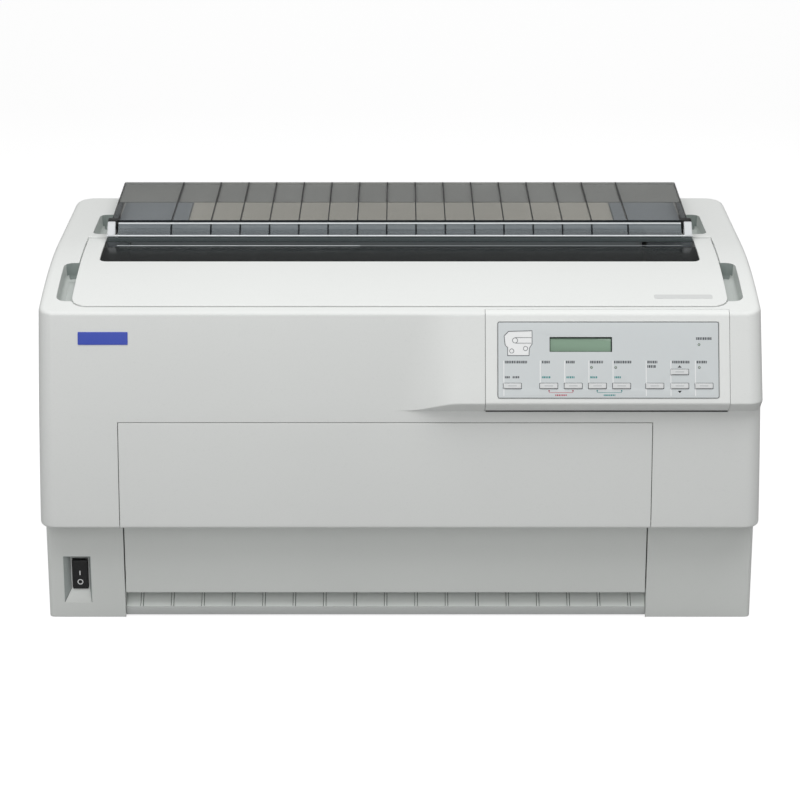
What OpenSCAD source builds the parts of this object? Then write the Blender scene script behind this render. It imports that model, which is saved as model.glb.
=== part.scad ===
// Wide-carriage dot matrix printer with a front and a rear paper tractor.
// X runs to the right as the operator sees it, Y to the back, Z up. The origin
// is on the desk under the middle of the casing. Side outlines are drawn as
// [depth behind the casing's foremost line, height above the desk].

/* [Casing] */
// Width of the upper casing at its bottom edge
body_w = 700; // [690:1:710]
// Depth of the upper casing
body_d = 382; // [382:1:390]
// Height of the flat rear part of the deck
deck_z = 340; // [339:0.5:341]
// Height of the joint between the base and the upper casing
split_z = 107; // [106:0.5:108]
// Width of the base
base_w = 694; // [688:1:696]
// How far the base stands behind the casing's foremost line
base_setback = 29; // [28:0.5:30]
// Wall of the base and the upper casing
wall = 3.5; // [3:0.5:4]
// Radius of the upper casing's upright corners
corner_r = 26; // [20:1:30]

/* [Paper path] */
// Middle of the paper path, left of the casing's own middle
paper_x = -14; // [-16:1:-12]
// Width of the front and rear paper bays
bay_w = 516; // [512:1:518]
// Spacing of the ribs in the front paper entry
entry_rib_pitch = 30.3; // [28:0.1:31]
// Radius of the platen
platen_r = 17; // [15:0.5:17]
// Length of the platen's rubber
platen_w = 420; // [400:5:420]

/* [Covers] */
// Width of the top front cover
cover_w = 634; // [630:1:634]
// Width of the smoked output cover
smoke_w = 592; // [588:1:592]
// Top of the smoked output cover
smoke_z = 359; // [358:0.5:360]
// Thickness of the moulded covers
skin = 3; // [2.5:0.5:3]

/* [Control panel] */
// Width of the control panel
panel_w = 233.6; // [232:0.1:234]
// Middle of the control panel
panel_x = 199; // [197:1:201]
// Height of the panel's foremost edge, the chin
chin_z = 233; // [231:0.5:235]
// Size of one key
key_w = 17.4; // [16:0.1:17.6]
key_h = 5.4; // [4.6:0.1:5.4]
// How far a key travels
key_travel = 1; // [0.6:0.1:1]

/* [Print mechanism] */
// Spacing between the insides of the two side frames
frame_gap = 525; // [523:1:526]
// Radius of the carriage's guide rods
rod_r = 6; // [5:0.5:6]
// Radius of the paper feed shafts
shaft_r = 5; // [4.5:0.5:5]
// Radius of the carriage belt's pulleys
belt_pulley_r = 12; // [11:0.5:12]

/* [Hidden] */

$fn = 48;
light_grey = [0.86, 0.87, 0.86];
base_grey = [0.78, 0.79, 0.78];
smoke = [0.32, 0.33, 0.34, 0.6];
steel = [0.66, 0.67, 0.69];
black = [0.1, 0.1, 0.11];
far = 500;
gap = 0.3;
pin_fit = 0.05;
front_y = -body_d / 2;
half_w = body_w / 2;

// ---- side outlines of the upper casing ----
front_lean = 4.5;
front_curve = 0.00042;
deck_flat_a = 200;
deck_fall = 26;
deck_run = 165;
edge_a = 34.4;
edge_z = deck_z - deck_fall * pow((deck_flat_a - edge_a) / deck_run, 2);
outline_steps = 8;
draft = 2.5;
top_edge_r = 7;
bottom_edge_r = 9;
rear_inset = 8;

function face_a(z) = (z - split_z) * tan(front_lean) + front_curve * pow(z - split_z, 2);
function deck_h(a) = deck_z - deck_fall * pow(max(0, deck_flat_a - a) / deck_run, 2);
function steps(from, to) = [for (i = [0:outline_steps]) from + (to - from) * i / outline_steps];
function face_line(g, z0, z1) = [for (z = steps(z0, z1)) [face_a(z) + g, z]];
function deck_line(g, a0, a1) = [for (a = steps(a0, a1)) [a, deck_h(a) - g]];
function casing_outline(g, z0) = concat(face_line(g, z0, edge_z - g),
  deck_line(g, edge_a + g, deck_flat_a), [[body_d - g, deck_z - g], [body_d - g, z0]]);

// An outline of depth and height, drawn out from x0 to x1
module across(x0, x1)
  translate([x0, front_y, 0]) rotate([90, 0, 90]) linear_extrude(x1 - x0) children();
// An outline of x and height, drawn out from depth a0 to a1
module through(a0, a1)
  translate([0, front_y + a1, 0]) rotate([90, 0, 0]) linear_extrude(a1 - a0) children();
// An outline of x and depth, drawn up from z0 to z1
module upward(z0, z1) translate([0, front_y, z0]) linear_extrude(z1 - z0) children();
module block(x0, x1, a0, a1, z0, z1)
  translate([x0, front_y + a0, z0]) cube([x1 - x0, a1 - a0, z1 - z0]);
module rod_x(x0, x1, a, z, r)
  translate([x0, front_y + a, z]) rotate([0, 90, 0]) cylinder(h = x1 - x0, r = r);
module rod_y(x, a0, a1, z, r)
  translate([x, front_y + a1, z]) rotate([90, 0, 0]) cylinder(h = a1 - a0, r = r);
module rod_z(x, a, z0, z1, r) translate([x, front_y + a, z0]) cylinder(h = z1 - z0, r = r);
module both_sides() for (side = [0, 1]) mirror([side, 0, 0]) children();
module both_ends() for (side = [0, 1]) translate([paper_x, 0, 0]) mirror([side, 0, 0]) children();
module rounded_rect(w, d, r) {
  square([w - 2 * r, d], center = true);
  square([w, d - 2 * r], center = true);
  for (x = [-1, 1], y = [-1, 1]) translate([x * (w / 2 - r), y * (d / 2 - r)]) circle(r);
}
// A strip that follows the deck, from g0 to g1 below its surface
module deck_band(g0, g1, a0, a1)
  polygon(concat(deck_line(g0, a0, a1), deck_line(g1, a1, a0)));

// ---- the upper casing ----
chin_under_z = 221.5;
chin_fade_x = -7;
panel_x0 = panel_x - panel_w / 2;
panel_x1 = panel_x + panel_w / 2;
panel_back_a = 41;
panel_lean = atan(edge_a / (edge_z - chin_z));
bay_x0 = paper_x - bay_w / 2;
bay_x1 = paper_x + bay_w / 2;
front_cover_top = 210;
cover_front_a = 46;
cover_half = cover_w / 2;
hinge_a = 212;
hinge_z = deck_z - 6;
hinge_r = 6;
smoke_half = smoke_w / 2;
cap_half = smoke_half + 1;
frame_x0 = paper_x - frame_gap / 2;
frame_x1 = paper_x + frame_gap / 2;
frame_t = 2;
exit_x0 = frame_x0 - frame_t - 2;
exit_x1 = frame_x1 + frame_t + 2;
exit_z = deck_z - 1.5;
exit_t = 2;
rear_open_z0 = 165;
rear_open_z1 = 322;
rear_hinge_a = body_d - 3;
rear_hinge_z = 169;
rear_knuckle_r = 3;
smoke_hinge_a = 371;
smoke_hinge_z = deck_z + 7;
pin_r = 2;
grip_depth = 16;
front_grip = [309, 332, 55, 135];
rear_grip = [298.4, 315, 230, 310];
grip_wall = 2;
ledge_in = 309;
rear_slot = [128, 150];
badge_size = [48, 12.4];
badge_mid = [-284.8, 290.2];
badge_t = 1;
badge_lean = atan((face_a(badge_mid[1] + 6) - face_a(badge_mid[1] - 6)) / 12);

module front_view_outline(g) {
  bottom_half = half_w - g;
  top_half = half_w - draft - g;
  r1 = bottom_edge_r;
  r2 = top_edge_r;
  top = deck_z - g;
  for (s = [-1, 1]) {
    translate([s * (bottom_half - r1), split_z + r1]) circle(r1);
    translate([s * (top_half - r2), top - r2]) circle(r2);
  }
  polygon([[-bottom_half + r1, split_z], [bottom_half - r1, split_z],
    [bottom_half, split_z + r1], [top_half, top - r2], [top_half - r2, top],
    [-top_half + r2, top], [-top_half, top - r2], [-bottom_half, split_z + r1]]);
}

module chin_outline()
  polygon([[0, chin_z], [edge_a, edge_z], [panel_back_a, edge_z - 4],
    [panel_back_a, chin_under_z], [face_a(chin_under_z), chin_under_z]]);

module casing_outside() {
  tip = [chin_fade_x, face_a(chin_under_z) + 2, chin_under_z];
  intersection() {
    union() {
      across(-half_w, half_w) polygon(casing_outline(0, split_z));
      across(panel_x0, half_w) chin_outline();
      hull() {
        across(panel_x0, panel_x0 + 0.5) chin_outline();
        block(tip[0], tip[0] + 1, tip[1], tip[1] + 1, tip[2], tip[2] + 1);
      }
    }
    casing_trim_solid(0);
  }
}
module casing_trim_solid(g) intersection() {
  upward(split_z, deck_z)
    translate([0, body_d / 2]) rounded_rect(body_w - 2 * g, body_d - 2 * g, corner_r - g);
  through(0, body_d) front_view_outline(g);
}
module casing_inside() intersection() {
  across(-half_w, half_w) polygon(casing_outline(wall, split_z + skin));
  casing_trim_solid(wall);
}

module base_outline(g) {
  base_d = body_d - base_setback - rear_inset;
  translate([0, base_setback + base_d / 2])
    rounded_rect(base_w - 2 * g, base_d - 2 * g, 12 - g);
}

// A pocket beside a cover that lets the fingers under its edge
module grip_box(grip, top_g) {
  w = grip_wall;
  both_sides() across(grip[0] - w, grip[1] + w)
    deck_band(top_g, grip_depth + w, grip[2] - w, grip[3] + w);
}
module grip_space(grip)
  both_sides() across(grip[0], grip[1]) deck_band(-far / 10, grip_depth, grip[2], grip[3]);

module upper_housing() color(light_grey) difference() {
  union() {
    difference() {
      casing_outside();
      casing_inside();
      upward(split_z - 1, split_z + skin + 1) base_outline(wall);
      // top front cover
      block(-cover_half - gap, cover_half + gap, cover_front_a - gap, hinge_a + hinge_r + 0.6,
        edge_z - 60, far);
      // paper exit below the smoked cover
      block(exit_x0, exit_x1, hinge_a, body_d - wall, deck_z - 20, far);
      block(exit_x0, exit_x1, hinge_a, body_d + 1, exit_z - exit_t, far);
      // front cover
      block(bay_x0, bay_x1, -1, 45, split_z - 1, front_cover_top + gap);
      // control panel
      across(panel_x0 - gap, panel_x1 + gap)
        polygon([[-1, chin_under_z], [-1, far], [panel_back_a, far],
          [panel_back_a, chin_under_z]]);
      // rear cover and the rear paper slot below it
      block(bay_x0, bay_x1, body_d - wall - 1, body_d + 1, rear_open_z0, rear_open_z1);
      block(bay_x0 + 10, bay_x1 - 10, body_d - wall - 1, body_d + 1, rear_slot[0], rear_slot[1]);
    }
    // ledges that the top front cover lies on
    both_sides() across(ledge_in, cover_half + 4) deck_band(skin + gap, 2 * skin + gap, 48, 200);
    grip_box(front_grip, skin + gap);
    grip_box(rear_grip, 1);
    // bosses for the hinge pins of the top front cover
    both_sides() block(cover_half + gap, cover_half + 6, hinge_a - 7, hinge_a + 8,
      hinge_z - 6, deck_z - 2);
    // ears for the hinge pins of the smoked cover
    both_sides() block(smoke_half - 8, smoke_half - 2.8, smoke_hinge_a - 6, smoke_hinge_a + 6,
      deck_z - 1, smoke_hinge_z + 5);
    // ears for the hinge pins of the rear cover
    both_ends() block(bay_w / 2, bay_w / 2 + 4, rear_hinge_a - 9, body_d - wall + 1,
      rear_hinge_z - 7, rear_hinge_z + 7);
  }
  grip_space(front_grip);
  grip_space(rear_grip);
  both_sides() rod_x(cover_half, cover_half + 8, hinge_a, hinge_z, pin_r + pin_fit);
  both_sides() rod_x(smoke_half - 9, smoke_half, smoke_hinge_a, smoke_hinge_z, pin_r + pin_fit);
  both_ends() rod_x(bay_w / 2 - 1, bay_w / 2 + 5, rear_hinge_a, rear_hinge_z, pin_r + pin_fit);
  on_face(badge_mid, badge_lean)
    translate([0, 0, badge_t / 2]) cube([badge_size[0], badge_size[1], badge_t * 2], center = true);
}

// A frame on the front face: x across, y up the face, z outwards, sunk by half a badge
module on_face(mid, lean)
  translate([mid[0], front_y + face_a(mid[1]) + badge_t, mid[1]]) rotate([90 - lean, 0, 0])
    children();

module badge_plate() color([0.2, 0.25, 0.6])
  on_face(badge_mid, badge_lean) translate([0, 0, badge_t / 2 - 0.1])
    cube([badge_size[0] - 0.4, badge_size[1] - 0.4, badge_t + 0.8], center = true);

// ---- the base ----
base_floor = 1;
floor_t = 4.5;
floor_top = base_floor + floor_t;
bay_wall_depth = 62;
front_hinge = [36, 32];
front_pin_r = 2.5;
entry_front_a = 33;
switch_x = [-331.5, -305.7];
switch_z = [16.4, 64.5];
inlet_x = [-325, -297];
inlet_z = [30, 54];
port_x = [122, 218];
port_z = [20, 56];
fan_mid = [300, 52];
fan_r = 28;
rear_wall_a = body_d - rear_inset - wall;

module lower_housing() color(base_grey) difference() {
  union() {
    difference() {
      upward(base_floor, split_z) base_outline(0);
      upward(floor_top, far) base_outline(wall);
      block(bay_x0, bay_x1, 0, entry_front_a + 3.5, 0, far);
    }
    both_ends() block(bay_w / 2, bay_w / 2 + wall, base_setback + 1, bay_wall_depth,
      base_floor, split_z);
  }
  block(switch_x[0] - gap, switch_x[1] + gap, 0, base_setback + wall + 1,
    switch_z[0] - gap, switch_z[1] + gap);
  block(inlet_x[0] - gap, inlet_x[1] + gap, rear_wall_a - 1, far, inlet_z[0] - gap,
    inlet_z[1] + gap);
  block(port_x[0], port_x[1], rear_wall_a - 1, far, port_z[0], port_z[1]);
  for (i = [-3:3])
    block(fan_mid[0] - 22, fan_mid[0] + 22, rear_wall_a - 1, far,
      fan_mid[1] + i * 7 - 1.7, fan_mid[1] + i * 7 + 1.7);
  both_ends() rod_x(bay_w / 2 - 1, bay_w / 2 + wall + 1, front_hinge[0], front_hinge[1],
    front_pin_r + pin_fit);
}

foot_r = 12;
module rubber_feet() color(black)
  both_sides() for (a = [66, 340]) rod_z(310, a, 0, base_floor, foot_r);

// ---- paper guides ----
// The ribbed ramp that leads paper in under the front cover
entry_ramp = [[entry_front_a, 11.6], [45, 12.5], [58, 24], [68, 52]];
entry_ribs = 17;
module entry_guide() color(base_grey) {
  half = bay_w / 2 - gap;
  difference() {
    across(paper_x - half, paper_x + half)
      polygon(concat([[entry_front_a, 4]], entry_ramp,
        [[73, 56], [73, floor_top], [36.2, floor_top], [36.2, 4]]));
    for (i = [0:3]) let (x = paper_x - half + 4 + i * (2 * half - 4) / 4)
      across(x, x + (2 * half - 4) / 4 - 4)
        polygon([[40, floor_top - 1], [40, 9], [46, 9.5], [60, 22], [68, 42], [71, 46],
          [71, floor_top - 1]]);
  }
  for (i = [0:entry_ribs - 1]) let (x = paper_x + (i - (entry_ribs - 1) / 2) * entry_rib_pitch)
    across(x - 1, x + 1)
      polygon([[entry_front_a + 1, 11.6], [42, 15.5], [56, 27], [65, 52], [68, 52], [58, 24],
        [45, 12.5]]);
}

exit_front = [226, 311];
exit_bend_a = 262;
module exit_guide() color([0.8, 0.78, 0.72])
  across(frame_x0 - frame_t, frame_x1 + frame_t)
    polygon([exit_front, [exit_bend_a, exit_z], [body_d - wall - gap, exit_z],
      [body_d - wall - gap, exit_z - exit_t], [exit_bend_a + 1, exit_z - exit_t],
      [exit_front[0] + 2, exit_front[1] - 1]]);

// ---- covers ----
glass_a = [138.5, 183];
window_half = cap_half + 1.5;
ledge_gap = 0.15;
module printer_cover() color(light_grey) {
  intersection() {
    union() {
      difference() {
        across(-cover_half, cover_half) deck_band(0, skin, cover_front_a, hinge_a);
        across(-window_half, window_half) deck_band(-1, skin + 1, glass_a[0], hinge_a + 1);
      }
      // the ledge that the window is bonded to
      across(-window_half + 4, window_half - 4)
        deck_band(skin + ledge_gap, skin + 2, glass_a[0] - 8, glass_a[0] + 8);
      across(-window_half + 4, window_half - 4)
        deck_band(skin - 1, skin + 1, glass_a[0] - 8, glass_a[0] - 0.1);
      both_sides() across(ledge_in - 5, ledge_in - 2.5) deck_band(skin - 1, 4 * skin, 56, 200);
      across(2.5 - ledge_in, ledge_in - 2.5) deck_band(skin - 1, 4 * skin, 54, 56.5);
    }
    upward(0, far) translate([0, cover_front_a + far / 2]) rounded_rect(cover_w, far, 15);
  }
  both_sides() {
    rod_x(window_half, cover_half, hinge_a, hinge_z, hinge_r);
    rod_x(cover_half - 1, cover_half + 5, hinge_a, hinge_z, pin_r);
  }
}

module cover_window() color(smoke)
  across(gap - window_half, window_half - gap)
    deck_band(0.5, skin, glass_a[0] + gap, glass_a[1]);

sheet_t = 2.5;
tear_low = [199, 345];
tear_top = [214, smoke_z];
cap_in = smoke_half - 10;
cap_back_a = 222.3;
// Distances of the smoked cover's ribs from its middle
rib_offsets = concat([for (i = [0:6]) 15 + 29.75 * i], [232]);
module output_cover() color(smoke) {
  block(-cap_in, cap_in, tear_top[0], cap_back_a, smoke_z - sheet_t, smoke_z);
  block(-smoke_half, smoke_half, cap_back_a, body_d - 6, smoke_z - sheet_t, smoke_z);
  both_sides() {
    block(smoke_half - sheet_t, smoke_half, cap_back_a, smoke_hinge_a, deck_z + gap, smoke_z - 1);
    block(smoke_half - sheet_t, smoke_half, smoke_hinge_a - 1, body_d - 6, smoke_hinge_z,
      smoke_z - 1);
    rod_x(smoke_half - sheet_t, smoke_half, smoke_hinge_a, smoke_hinge_z, 6.6);
    rod_x(smoke_half - 7.5, smoke_half - 1, smoke_hinge_a, smoke_hinge_z, pin_r);
    for (x = rib_offsets)
      block(x - 0.8, x + 0.8, tear_top[0] + 4, body_d - 12, smoke_z - 10, smoke_z - 1);
  }
}

module tear_profile(t) polygon([tear_low, [tear_top[0] - 1, smoke_z - 0.4], [tear_top[0], smoke_z - 0.4],
  [tear_top[0], smoke_z - t], [tear_low[0] + 2, tear_low[1] - t], [192, 341.5], [191, 342.5]]);
module tear_bar() color([0.6, 0.66, 0.7, 0.6]) across(-cap_in, cap_in) tear_profile(3);

module cover_end_caps() color([0.82, 0.83, 0.84])
  both_sides() across(cap_in, cap_half)
    polygon([[tear_low[0] - 1, tear_low[1]], [tear_top[0] - 2, smoke_z + 0.6],
      [cap_back_a, smoke_z + 0.6], [cap_back_a, smoke_z - 12], [tear_low[0] + 5, 341.5],
      [tear_low[0], 341.5]]);

lower_panel_bottom = 26.6;
front_step_a = base_setback + skin;
module front_cover() color(light_grey) {
  x0 = bay_x0 + 0.7;
  x1 = bay_x1 - 0.7;
  face = face_line(0, split_z, front_cover_top);
  inner = face_line(skin, front_cover_top, split_z + skin);
  across(x0, x1) polygon(concat([[0, split_z]], face, inner, [[front_step_a, split_z + skin],
    [front_step_a, lower_panel_bottom], [base_setback, lower_panel_bottom],
    [base_setback, split_z]]));
  for (i = [0:3]) let (x = x0 + 4 + i * (x1 - x0 - 11) / 3)
    across(x, x + skin) polygon(concat(face_line(skin - 0.5, split_z + 2, front_cover_top - 4),
      [[24, 195], [front_step_a - 1, split_z + 2]]));
  both_ends() {
    across(bay_w / 2 - 9, bay_w / 2 - 0.7) polygon([[front_step_a - 1, 28], [front_step_a - 1, 52],
      [39, 35], [39, 28.5]]);
    rod_x(bay_w / 2 - 2, bay_w / 2 + 3, front_hinge[0], front_hinge[1], front_pin_r);
  }
}

module rear_cover() color(light_grey) {
  bottom = rear_hinge_z - 2.2;
  block(bay_x0 + 0.5, bay_x1 - 0.5, body_d - skin, body_d, bottom, rear_open_z1 - 0.4);
  both_ends() {
    rod_x(bay_w / 2 - 14, bay_w / 2 - 0.5, rear_hinge_a, rear_hinge_z, rear_knuckle_r);
    rod_x(bay_w / 2 - 2, bay_w / 2 + 3.5, rear_hinge_a, rear_hinge_z, pin_r);
    block(bay_w / 2 - 30, bay_w / 2 - 27, body_d - 10, body_d - 1, rear_hinge_z + 8,
      rear_open_z1 - 6);
  }
}

// ---- control panel ----
// Local frame: x as the printer's, y up the sloping face from the chin, z outwards
module on_panel()
  translate([0, front_y, chin_z]) rotate([90 - panel_lean, 0, 0]) children();
module panel_block(x0, x1, s0, s1, z0, z1)
  on_panel() translate([x0, s0, z0]) cube([x1 - x0, s1 - s0, z1 - z0]);

bezel_t = 3;
overlay_x = [93.8, 305.4];
overlay_s = [6, 79.4];
overlay_t = 0.6;
lcd_x = [143.5, 203.2];
lcd_s = [50.6, 64.8];
key_s = 15.1;
upper_key_s = 28.5;
// Left edge and height up the face of each key, in the order of key_names
key_spots = [[99, key_s], [133.8, key_s], [157.2, key_s], [180.3, key_s], [203.4, key_s],
  [235.1, key_s], [259, upper_key_s], [259, key_s], [282.2, key_s]];
lamp_spots = [[286.4, 57.6], [286.6, 35.6], [183.4, 35.6], [206.6, 35.6]];
lamp_r = 1.2;
board_z = -9.5;
boss_spots = [[98, 76], [302, 76], [122, 11.5], [228, 11.5]];

module key_hole(spot, extra)
  panel_block(spot[0] - extra, spot[0] + key_w + extra, spot[1] - extra, spot[1] + key_h + extra,
    -8, 5);

module panel_bezel() color(light_grey) difference() {
  x0 = panel_x0;
  x1 = panel_x1;
  under_a = face_a(chin_under_z);
  union() {
    difference() {
      across(x0, x1) polygon([[0, chin_z], [edge_a, edge_z], [panel_back_a - gap,
        deck_h(panel_back_a)], [panel_back_a - gap, edge_z - 14], [under_a + 8, chin_under_z],
        [under_a, chin_under_z]]);
      across(x0 + bezel_t, x1 - bezel_t) polygon([[3.7, chin_z + 1],
        [edge_a + 2.2, edge_z - 3], [60, edge_z - 3], [60, chin_under_z + 3],
        [under_a + 1.5, chin_under_z + 3]]);
    }
    for (b = boss_spots) on_panel() translate([b[0], b[1], board_z])
      cylinder(h = -board_z - 1, r = 3);
  }
  panel_block(lcd_x[0], lcd_x[1], lcd_s[0], lcd_s[1], -bezel_t - 1, 5);
  for (spot = key_spots) key_hole(spot, gap);
  for (lamp = lamp_spots) on_panel() translate([lamp[0], lamp[1], -bezel_t - 1])
    cylinder(h = 9, r = lamp_r + 0.2);
}

module panel_overlay() color([0.78, 0.81, 0.82]) difference() {
  on_panel() translate([(overlay_x[0] + overlay_x[1]) / 2, (overlay_s[0] + overlay_s[1]) / 2, 0])
    linear_extrude(overlay_t)
      rounded_rect(overlay_x[1] - overlay_x[0], overlay_s[1] - overlay_s[0], 3);
  panel_block(lcd_x[0], lcd_x[1], lcd_s[0], lcd_s[1], -1, 5);
  for (spot = key_spots) key_hole(spot, gap);
  for (lamp = lamp_spots) on_panel() translate([lamp[0], lamp[1], -1])
    cylinder(h = 9, r = lamp_r + 0.2);
}

module lcd_module() color([0.5, 0.6, 0.52]) {
  panel_block(lcd_x[0] - 5, lcd_x[1] + 5, lcd_s[0] - 4, lcd_s[1] + 4, board_z, -bezel_t - 0.4);
  panel_block(lcd_x[0] + gap, lcd_x[1] - gap, lcd_s[0] + gap, lcd_s[1] - gap, -bezel_t - 1, -1);
}

module panel_board() color([0.15, 0.4, 0.2]) {
  panel_block(92, 308, 8.5, 79, board_z - 1.6, board_z);
  for (lamp = lamp_spots) on_panel() translate([lamp[0], lamp[1], board_z - 1])
    cylinder(h = 1 - board_z + 0.2, r = lamp_r);
}

key_proud = 1.7;
flange = 1.2;
module key(i) color([0.88, 0.88, 0.88]) let (spot = key_spots[i]) {
  panel_block(spot[0], spot[0] + key_w, spot[1], spot[1] + key_h, -6, key_proud);
  panel_block(spot[0] - flange, spot[0] + key_w + flange, spot[1] - flange,
    spot[1] + key_h + flange, -5.2, -bezel_t - 0.2);
  panel_block(spot[0] + 6, spot[0] + key_w - 6, spot[1] + 1, spot[1] + key_h - 1, -8.2, -5);
}

// ---- power switch ----
rocker_x = [-323.9, -308.7];
rocker_z = [30, 60.8];
rocker_axis = [base_setback + 9, 45.4];
rocker_rest = 7;
module switch_surround() color(base_grey) difference() {
  union() {
    block(switch_x[0], switch_x[1], base_setback + 0.1, base_setback + 14, switch_z[0], switch_z[1]);
    block(switch_x[0] - 3, switch_x[1] + 3, base_setback + wall, base_setback + 14,
      switch_z[0] - 3, switch_z[1] + 3);
  }
  block(switch_x[0] + 1.5, switch_x[1] - 1.5, 0, base_setback + 5, 28, switch_z[1] - 1.5);
  across(switch_x[0] + 1.5, switch_x[1] - 1.5) polygon([[base_setback - 1, switch_z[0] + 1.5],
    [base_setback + 1, switch_z[0] + 1.5], [base_setback + 5, 28.5], [base_setback - 1, 28.5]]);
  block(rocker_x[0] - 0.5, rocker_x[1] + 0.5, 0, base_setback + 12.5, rocker_z[0] - 0.7,
    rocker_z[1] + 0.7);
  rod_x(rocker_x[0] - 2, rocker_x[1] + 2, rocker_axis[0], rocker_axis[1], 1.5 + pin_fit);
}

module switch_rocker() color(black)
  translate([0, front_y + rocker_axis[0], rocker_axis[1]]) rotate([rocker_rest, 0, 0]) {
    half = (rocker_z[1] - rocker_z[0]) / 2 - 0.5;
    translate([rocker_x[0], 0, 0]) rotate([90, 0, 90]) linear_extrude(rocker_x[1] - rocker_x[0])
      polygon([[-6.5, half], [-5, 0], [-6.5, -half], [-1, -half], [2.5, -4], [2.5, 4], [-1, half]]);
    translate([rocker_x[0] - 1.7, 0, 0]) rotate([0, 90, 0])
      cylinder(h = rocker_x[1] - rocker_x[0] + 3.4, r = 1.5);
  }

// ---- rear connections ----
module power_inlet() color(black) difference() {
  union() {
    block(inlet_x[0], inlet_x[1], rear_wall_a - 18, rear_wall_a + wall + 2, inlet_z[0], inlet_z[1]);
    block(inlet_x[0] - 8, inlet_x[1] + 8, rear_wall_a + wall, rear_wall_a + wall + 2,
      inlet_z[0] - 3, inlet_z[1] + 3);
  }
  difference() {
    block(inlet_x[0] + 2, inlet_x[1] - 2, rear_wall_a - 12, far, inlet_z[0] + 3, inlet_z[1] - 3);
    for (i = [-1:1]) block(-311 + i * 7 - 1, -311 + i * 7 + 1, rear_wall_a - 13, rear_wall_a - 2,
      40 - 2, 44 + 2);
  }
}

module interface_ports() color(steel) {
  a1 = rear_wall_a;
  difference() {
    union() {
      block(port_x[0] - 4, port_x[1] + 4, a1 - 2, a1, port_z[0] - 4, port_z[1] + 4);
      block(port_x[0] + 6, port_x[0] + 66, a1 - 14, a1 + wall, 30, 46);
      block(port_x[0] + 74, port_x[0] + 90, a1 - 14, a1 + wall, 30, 44);
    }
    block(port_x[0] + 8, port_x[0] + 64, a1 - 9, far, 32, 44);
    block(port_x[0] + 76, port_x[0] + 88, a1 - 9, far, 32, 42);
  }
}

// ---- chassis ----
plate_t = 2;
platen_axis = [205, 290];
front_feed = [88, 118];
rear_feed = [318, 190];
motor_axis = [235, 95];
tractor_rod_r = 4;
tractor_h = 50;
rod_axes = [[133, 258], [176, 258]];
frame_outline = [[76, floor_top], [345, floor_top], [345, exit_z - exit_t],
  [exit_bend_a + 1, exit_z - exit_t], [238, 315], [226, 309], [212, 316], [140, 318], [76, 298],
  [64, 280], [64, 80], [76, 66]];

module base_plate() color(steel)
  block(frame_x0, frame_x1, 80, 366, floor_top, floor_top + plate_t);

module frame_plate(x0) difference() {
  across(x0, x0 + frame_t) polygon(frame_outline);
  for (axis = [platen_axis, front_feed, rear_feed])
    rod_x(x0 - 1, x0 + frame_t + 1, axis[0], axis[1], shaft_r + pin_fit);
  rod_x(x0 - 1, x0 + frame_t + 1, 150, 150, 26);
  rod_x(x0 - 1, x0 + frame_t + 1, 270, 265, 26);
}

cartridge_z = [284, 312];
belt_axis_a = 152;
belt_z = [229, 237];
pulley_x = 240;
idler_pin_r = 3;
module side_frame_left() color(steel) {
  frame_plate(frame_x0 - frame_t);
  block(frame_x0 - 1, frame_x0 + 36, 76, 108, cartridge_z[0] - frame_t, cartridge_z[0]);
}
module side_frame_right() color(steel) {
  difference() {
    frame_plate(frame_x1);
    rod_x(frame_x1 - 1, frame_x1 + 3, motor_axis[0], motor_axis[1], 6);
  }
  block(frame_x1 - 36, frame_x1 + 1, 76, 108, cartridge_z[0] - frame_t, cartridge_z[0]);
  block(paper_x + pulley_x - 14, frame_x1 + 1, 140, 164, 222, 222 + frame_t);
  rod_z(paper_x + pulley_x, belt_axis_a, 223, 243, idler_pin_r);
}

module guide_rods() color([0.8, 0.81, 0.83]) {
  for (axis = rod_axes) rod_x(frame_x0, frame_x1, axis[0], axis[1], rod_r);
  rod_x(frame_x0, frame_x1, front_feed[0], front_feed[1] + tractor_h, tractor_rod_r);
  rod_x(frame_x0, frame_x1, rear_feed[0], rear_feed[1] + tractor_h, tractor_rod_r);
}

// ---- paper feed ----
wheel_x = [frame_x1 + frame_t + 3, frame_x1 + frame_t + 13];
platen_wheel_r = 16;
feed_wheel_r = 12;
motor_wheel_r = 9;
module feed_wheel(axis, r) {
  rod_x(wheel_x[0], wheel_x[1], axis[0], axis[1], r);
  for (x = [wheel_x[0] - 1, wheel_x[1] - 0.5]) rod_x(x, x + 1.5, axis[0], axis[1], r + 2);
}
module platen() color(black) {
  rod_x(paper_x - platen_w / 2, paper_x + platen_w / 2, platen_axis[0], platen_axis[1], platen_r);
  rod_x(frame_x0 - frame_t - 4, wheel_x[1] + 2, platen_axis[0], platen_axis[1], shaft_r);
  feed_wheel(platen_axis, platen_wheel_r);
}
module feed_shaft(axis) color(steel) {
  rod_x(frame_x0 - frame_t - 4, wheel_x[1] + 2, axis[0], axis[1], shaft_r);
  feed_wheel(axis, feed_wheel_r);
}
module feed_motor() color([0.25, 0.25, 0.27]) difference() {
  union() {
    rod_x(frame_x1 - 48, frame_x1, motor_axis[0], motor_axis[1], 25);
    block(frame_x1 - 2, frame_x1, motor_axis[0] - 30, motor_axis[0] + 30, motor_axis[1] - 30,
      motor_axis[1] + 30);
  }
  rod_x(frame_x1 - 15, frame_x1 + 1, motor_axis[0], motor_axis[1], 3 + pin_fit);
}
module feed_pulley() color(steel) {
  rod_x(frame_x1 - 14, wheel_x[1] + 2, motor_axis[0], motor_axis[1], 3);
  feed_wheel(motor_axis, motor_wheel_r);
}
module wheel_hull(extra) hull() {
  translate(platen_axis) circle(platen_wheel_r + extra);
  translate(front_feed) circle(feed_wheel_r + extra);
  translate(rear_feed) circle(feed_wheel_r + extra);
  translate(motor_axis) circle(motor_wheel_r + extra);
}
module feed_belt() color(black) across(wheel_x[0] + 1, wheel_x[1] - 1) difference() {
  wheel_hull(gap + 1.4);
  wheel_hull(gap);
}

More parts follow.
